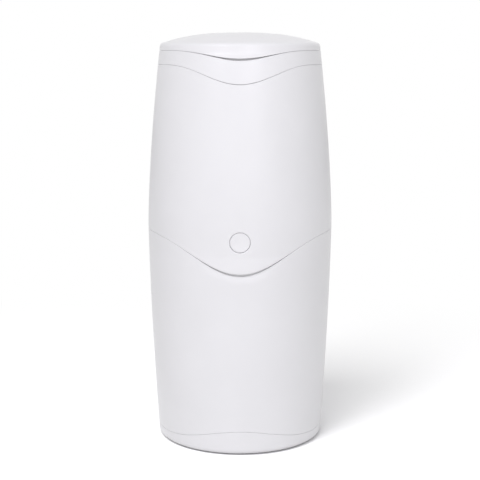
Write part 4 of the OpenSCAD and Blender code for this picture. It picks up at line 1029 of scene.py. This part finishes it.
class NAPPYBIN_OT_filter_and_seal(bpy.types.Operator):
    """Adds the lid's carbon foam filter and its rounded rubber seal"""

    bl_idname = "nappybin.filter_and_seal"
    bl_label = "Filter and seal"

    def execute(self, context):
        low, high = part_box("carbon_filter")
        r, e = high.x - 1e-4, 0.0009
        t, rows = quarter(4), np.linspace(0, r - e, 26)
        under = np.stack([rows, np.full(len(rows), low.z + 1e-4)], 1)
        foot = np.stack([r - e * (1 - np.sin(t)), low.z + 1e-4 + e * (1 - np.cos(t))], 1)
        head = np.stack([r - e * (1 - np.cos(t)), high.z - 1e-4 - e * (1 - np.sin(t))], 1)
        over = np.stack([rows[::-1], np.full(len(rows), high.z - 1e-4)], 1)
        surface = turned(np.concatenate([under, foot[1:], head, over[1:]]), 120, closed=False)
        foam = piece("carbon_filter_foam", surface, finish("carbon_foam"), "lid", ["carbon_filter"], sharp=80)
        low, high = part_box("lid_seal")
        width, middle = 0.004, props().inside.seal_r
        a = np.linspace(0, 2 * np.pi, 32, endpoint=False)
        bead = np.abs(np.cos(a)) ** 0.6 * np.sign(np.cos(a)), np.abs(np.sin(a)) ** 0.6 * np.sign(np.sin(a))
        profile = np.stack([
            middle + bead[0] * (width / 2), (low.z + high.z) / 2 + bead[1] * (high.z - low.z) / 2], 1)
        piece("lid_seal_bead", turned(profile, 240), finish("grey_rubber"), "lid", ["lid_seal"], sharp=80)
        return {"FINISHED"}


class NAPPYBIN_OT_jaw_lips(bpy.types.Operator):
    """Adds the soft lips of the two jaws with rounded noses and ends"""

    bl_idname = "nappybin.jaw_lips"
    bl_label = "Jaw lips"

    def execute(self, context):
        for side, name in ((1, "right_jaw_lip"), (-1, "left_jaw_lip")):
            low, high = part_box(name)
            near, far = (low.x, high.x) if side > 0 else (-high.x, -low.x)
            a = np.linspace(-np.pi / 2, np.pi / 2, 15)
            mid_z, half = (low.z + high.z) / 2, (high.z - low.z) / 2
            nose = np.stack([far - (far - near) * np.cos(a) ** 0.55, mid_z + half * np.sin(a)], 1)
            profile = np.concatenate([nose, [(far, mid_z + half), (far, mid_z - half)]])
            y = np.concatenate([[low.y], np.linspace(low.y + 4e-4, high.y - 4e-4, 41), [high.y]])
            shrink = np.ones(len(y))
            shrink[[0, -1]] = 0.82
            centre = np.array([far, mid_z])
            rows = [np.tile(centre, (len(profile), 1))]
            rows += [centre + (profile - centre) * q for q in shrink]
            rows += [rows[0]]
            y = np.concatenate([[y[0]], y, [y[-1]]])
            points = np.stack([
                np.stack([side * p[:, 0], np.full(len(p), v), p[:, 1]], -1) for p, v in zip(rows, y)])
            if side < 0:
                points = points[:, ::-1]
            piece(name + "_soft", grid(points, close_columns=True), finish("grey_rubber"),
                  name.replace("_lip", ""), [name])
        return {"FINISHED"}


class NAPPYBIN_OT_cad_finishes(bpy.types.Operator):
    """Gives every CAD part that still shows its moulded, rubber or steel finish"""

    bl_idname = "nappybin.cad_finishes"
    bl_label = "CAD finishes"

    def execute(self, context):
        for part in frame["record"]["subparts"]:
            thing = frame["nodes"][part["node"]]
            if not thing.material_slots:
                thing.data.materials.append(None)
            for place in thing.material_slots:
                place.material = finish(part["material_slot"])
        return {"FINISHED"}


class NAPPYBIN_OT_stage(bpy.types.Operator):
    """Adds the camera, the soft lights, the pale room and the floor"""

    bl_idname = "nappybin.stage"
    bl_label = "Stage"

    def execute(self, context):
        s = props().studio
        scene = bpy.context.scene
        scene.view_settings.view_transform = "Standard"
        lens = bpy.data.cameras.new("Camera")
        lens.lens, lens.sensor_width = s.lens, 36
        camera = bpy.data.objects.new("Camera", lens)
        camera.location = (0, -s.camera_y, s.camera_z)
        camera.rotation_euler = (math.pi / 2 - s.camera_down, 0, 0)
        scene.collection.objects.link(camera)
        scene.camera = camera
        for name, power, size, place in (
            ("Key", s.key, 0.9, (-1.12, -1.92, 1.75)),
            ("Floor light", s.shade, 1.68, (-0.69, -1.12, 2.51)),
            ("Fill", s.fill, 1.4, (0.70, -2.37, 1.52)),
            ("Rear", s.rear, 1.6, (0.45, 2.45, 0.95)),
        ):
            light = bpy.data.lights.new(name, "AREA")
            light.shape, light.size, light.energy = "DISK", size, power
            light.color = (1, 1, 1) if name == "Floor light" else s.cool
            lamp = bpy.data.objects.new(name, light)
            lamp.location = place
            aim = mathutils.Vector((0, 0, 0.27)) - lamp.location
            lamp.rotation_euler = aim.to_track_quat("-Z", "Y").to_euler()
            lamp.visible_glossy = name != "Rear"
            scene.collection.objects.link(lamp)
        self.room(s.room)
        floor = self.floor(s)
        for name, state in (("Floor light", "INCLUDE"), ("Rear", "EXCLUDE")):
            linked = bpy.data.collections.new(name + " on the floor")
            linked.objects.link(floor)
            linked.collection_objects[0].light_linking.link_state = state
            bpy.data.objects[name].light_linking.receiver_collection = linked
        return {"FINISHED"}

    def room(self, strength):
        """The room: white where the camera, glossy or clear surfaces see it, an even light elsewhere."""
        world = bpy.data.worlds.new("Room")
        bpy.context.scene.world = world
        world.use_nodes = True
        nodes, links = world.node_tree.nodes, world.node_tree.links
        even, white = nodes["Background"], nodes.new("ShaderNodeBackground")
        even.inputs["Color"].default_value = (1, 1, 1, 1)
        even.inputs["Strength"].default_value = strength
        white.inputs["Color"].default_value = (1, 1, 1, 1)
        white.inputs["Strength"].default_value = 1
        mix = nodes.new("ShaderNodeMixShader")
        links.new(seen(nodes, links), mix.inputs["Fac"])
        links.new(even.outputs["Background"], mix.inputs[1])
        links.new(white.outputs["Background"], mix.inputs[2])
        links.new(mix.outputs["Shader"], nodes["World Output"].inputs["Surface"])

    def floor(self, s):
        """A wide pale floor, lifted to white for the camera and still dark where the object shades it."""
        x, y = np.linspace(-6, 6, 25), np.linspace(-3, 9, 25)
        points = np.stack(np.broadcast_arrays(x[None], y[:, None], 0.0), -1)
        spots, quads = grid(points)
        mesh = bpy.data.meshes.new("Floor")
        mesh.from_pydata(spots.tolist(), [], quads.tolist())
        made = bpy.data.materials.new("Floor")
        made.use_nodes = True
        nodes, links = made.node_tree.nodes, made.node_tree.links
        shader, output = nodes["Principled BSDF"], nodes["Material Output"]
        shader.inputs["Base Color"].default_value = (*s.floor, 1)
        shader.inputs["Roughness"].default_value = 0.9
        shader.inputs["Specular IOR Level"].default_value = 0.1
        pale, lift, add, white, far, mix = (
            nodes.new("ShaderNode" + n)
            for n in ("BsdfDiffuse", "Emission", "AddShader", "Emission", "MixShader", "MixShader")
        )
        pale.inputs["Color"].default_value = (1, 1, 1, 1)
        lift.inputs["Strength"].default_value = s.lift
        white.inputs["Strength"].default_value = 1
        place, reach, fade = (
            nodes.new("ShaderNode" + n) for n in ("TexCoord", "VectorMath", "MapRange")
        )
        reach.operation = "LENGTH"
        fade.interpolation_type = "SMOOTHSTEP"
        fade.inputs["From Min"].default_value, fade.inputs["From Max"].default_value = 0.38, 0.9
        links.new(place.outputs["Object"], reach.inputs[0])
        links.new(reach.outputs["Value"], fade.inputs["Value"])
        links.new(pale.outputs["BSDF"], add.inputs[0])
        links.new(lift.outputs["Emission"], add.inputs[1])
        links.new(fade.outputs["Result"], far.inputs["Fac"])
        links.new(add.outputs["Shader"], far.inputs[1])
        links.new(white.outputs["Emission"], far.inputs[2])
        links.new(seen(nodes, links), mix.inputs["Fac"])
        links.new(shader.outputs["BSDF"], mix.inputs[1])
        links.new(far.outputs["Shader"], mix.inputs[2])
        links.new(mix.outputs["Shader"], output.inputs["Surface"])
        mesh.materials.append(made)
        floor = bpy.data.objects.new("Floor", mesh)
        bpy.context.scene.collection.objects.link(floor)
        return floor


def seen(nodes, links):
    """1 for rays from the camera or off glossy or clear surfaces, else 0."""
    rays = nodes.new("ShaderNodeLightPath")
    last = rays.outputs["Is Camera Ray"]
    for name in ("Is Glossy Ray", "Is Transmission Ray"):
        most = nodes.new("ShaderNodeMath")
        most.operation = "MAXIMUM"
        links.new(last, most.inputs[0])
        links.new(rays.outputs[name], most.inputs[1])
        last = most.outputs["Value"]
    return last


class NAPPYBIN_PT_bin(bpy.types.Panel):
    """Lists the steps that make the bin"""

    bl_idname = "NAPPYBIN_PT_bin"
    bl_label = "Nappy bin"
    bl_space_type = "VIEW_3D"
    bl_region_type = "UI"
    bl_category = "Nappy bin"

    def draw(self, context):
        for step in STEPS:
            self.layout.operator(step.bl_idname)
        for group in ("barrel", "lines", "lips", "button", "hinges", "inside", "finish", "studio"):
            box = self.layout.box()
            box.label(text=group.capitalize())
            settings = getattr(context.scene.nappy_bin, group)
            for name in settings.__annotations__:
                box.prop(settings, name)


STEPS = (
    NAPPYBIN_OT_base_cap, NAPPYBIN_OT_lower_shell, NAPPYBIN_OT_upper_shell, NAPPYBIN_OT_top_ring,
    NAPPYBIN_OT_lid, NAPPYBIN_OT_button, NAPPYBIN_OT_springs, NAPPYBIN_OT_film_pack,
    NAPPYBIN_OT_filter_and_seal, NAPPYBIN_OT_jaw_lips, NAPPYBIN_OT_cad_finishes, NAPPYBIN_OT_stage,
)
CLASSES = (
    BinBarrel, BinLines, BinLips, BinButton, BinHinges, BinInside, BinFinish, BinStudio, NappyBin,
    *STEPS, NAPPYBIN_PT_bin,
)


def register():
    for made in CLASSES:
        bpy.utils.register_class(made)
    bpy.types.Scene.nappy_bin = bpy.props.PointerProperty(type=NappyBin)


def unregister():
    del bpy.types.Scene.nappy_bin
    for made in reversed(CLASSES):
        bpy.utils.unregister_class(made)


def main():
    register()
    for step in STEPS:
        getattr(bpy.ops.nappybin, step.bl_idname.split(".")[1])()


if __name__ == "__main__":
    main()
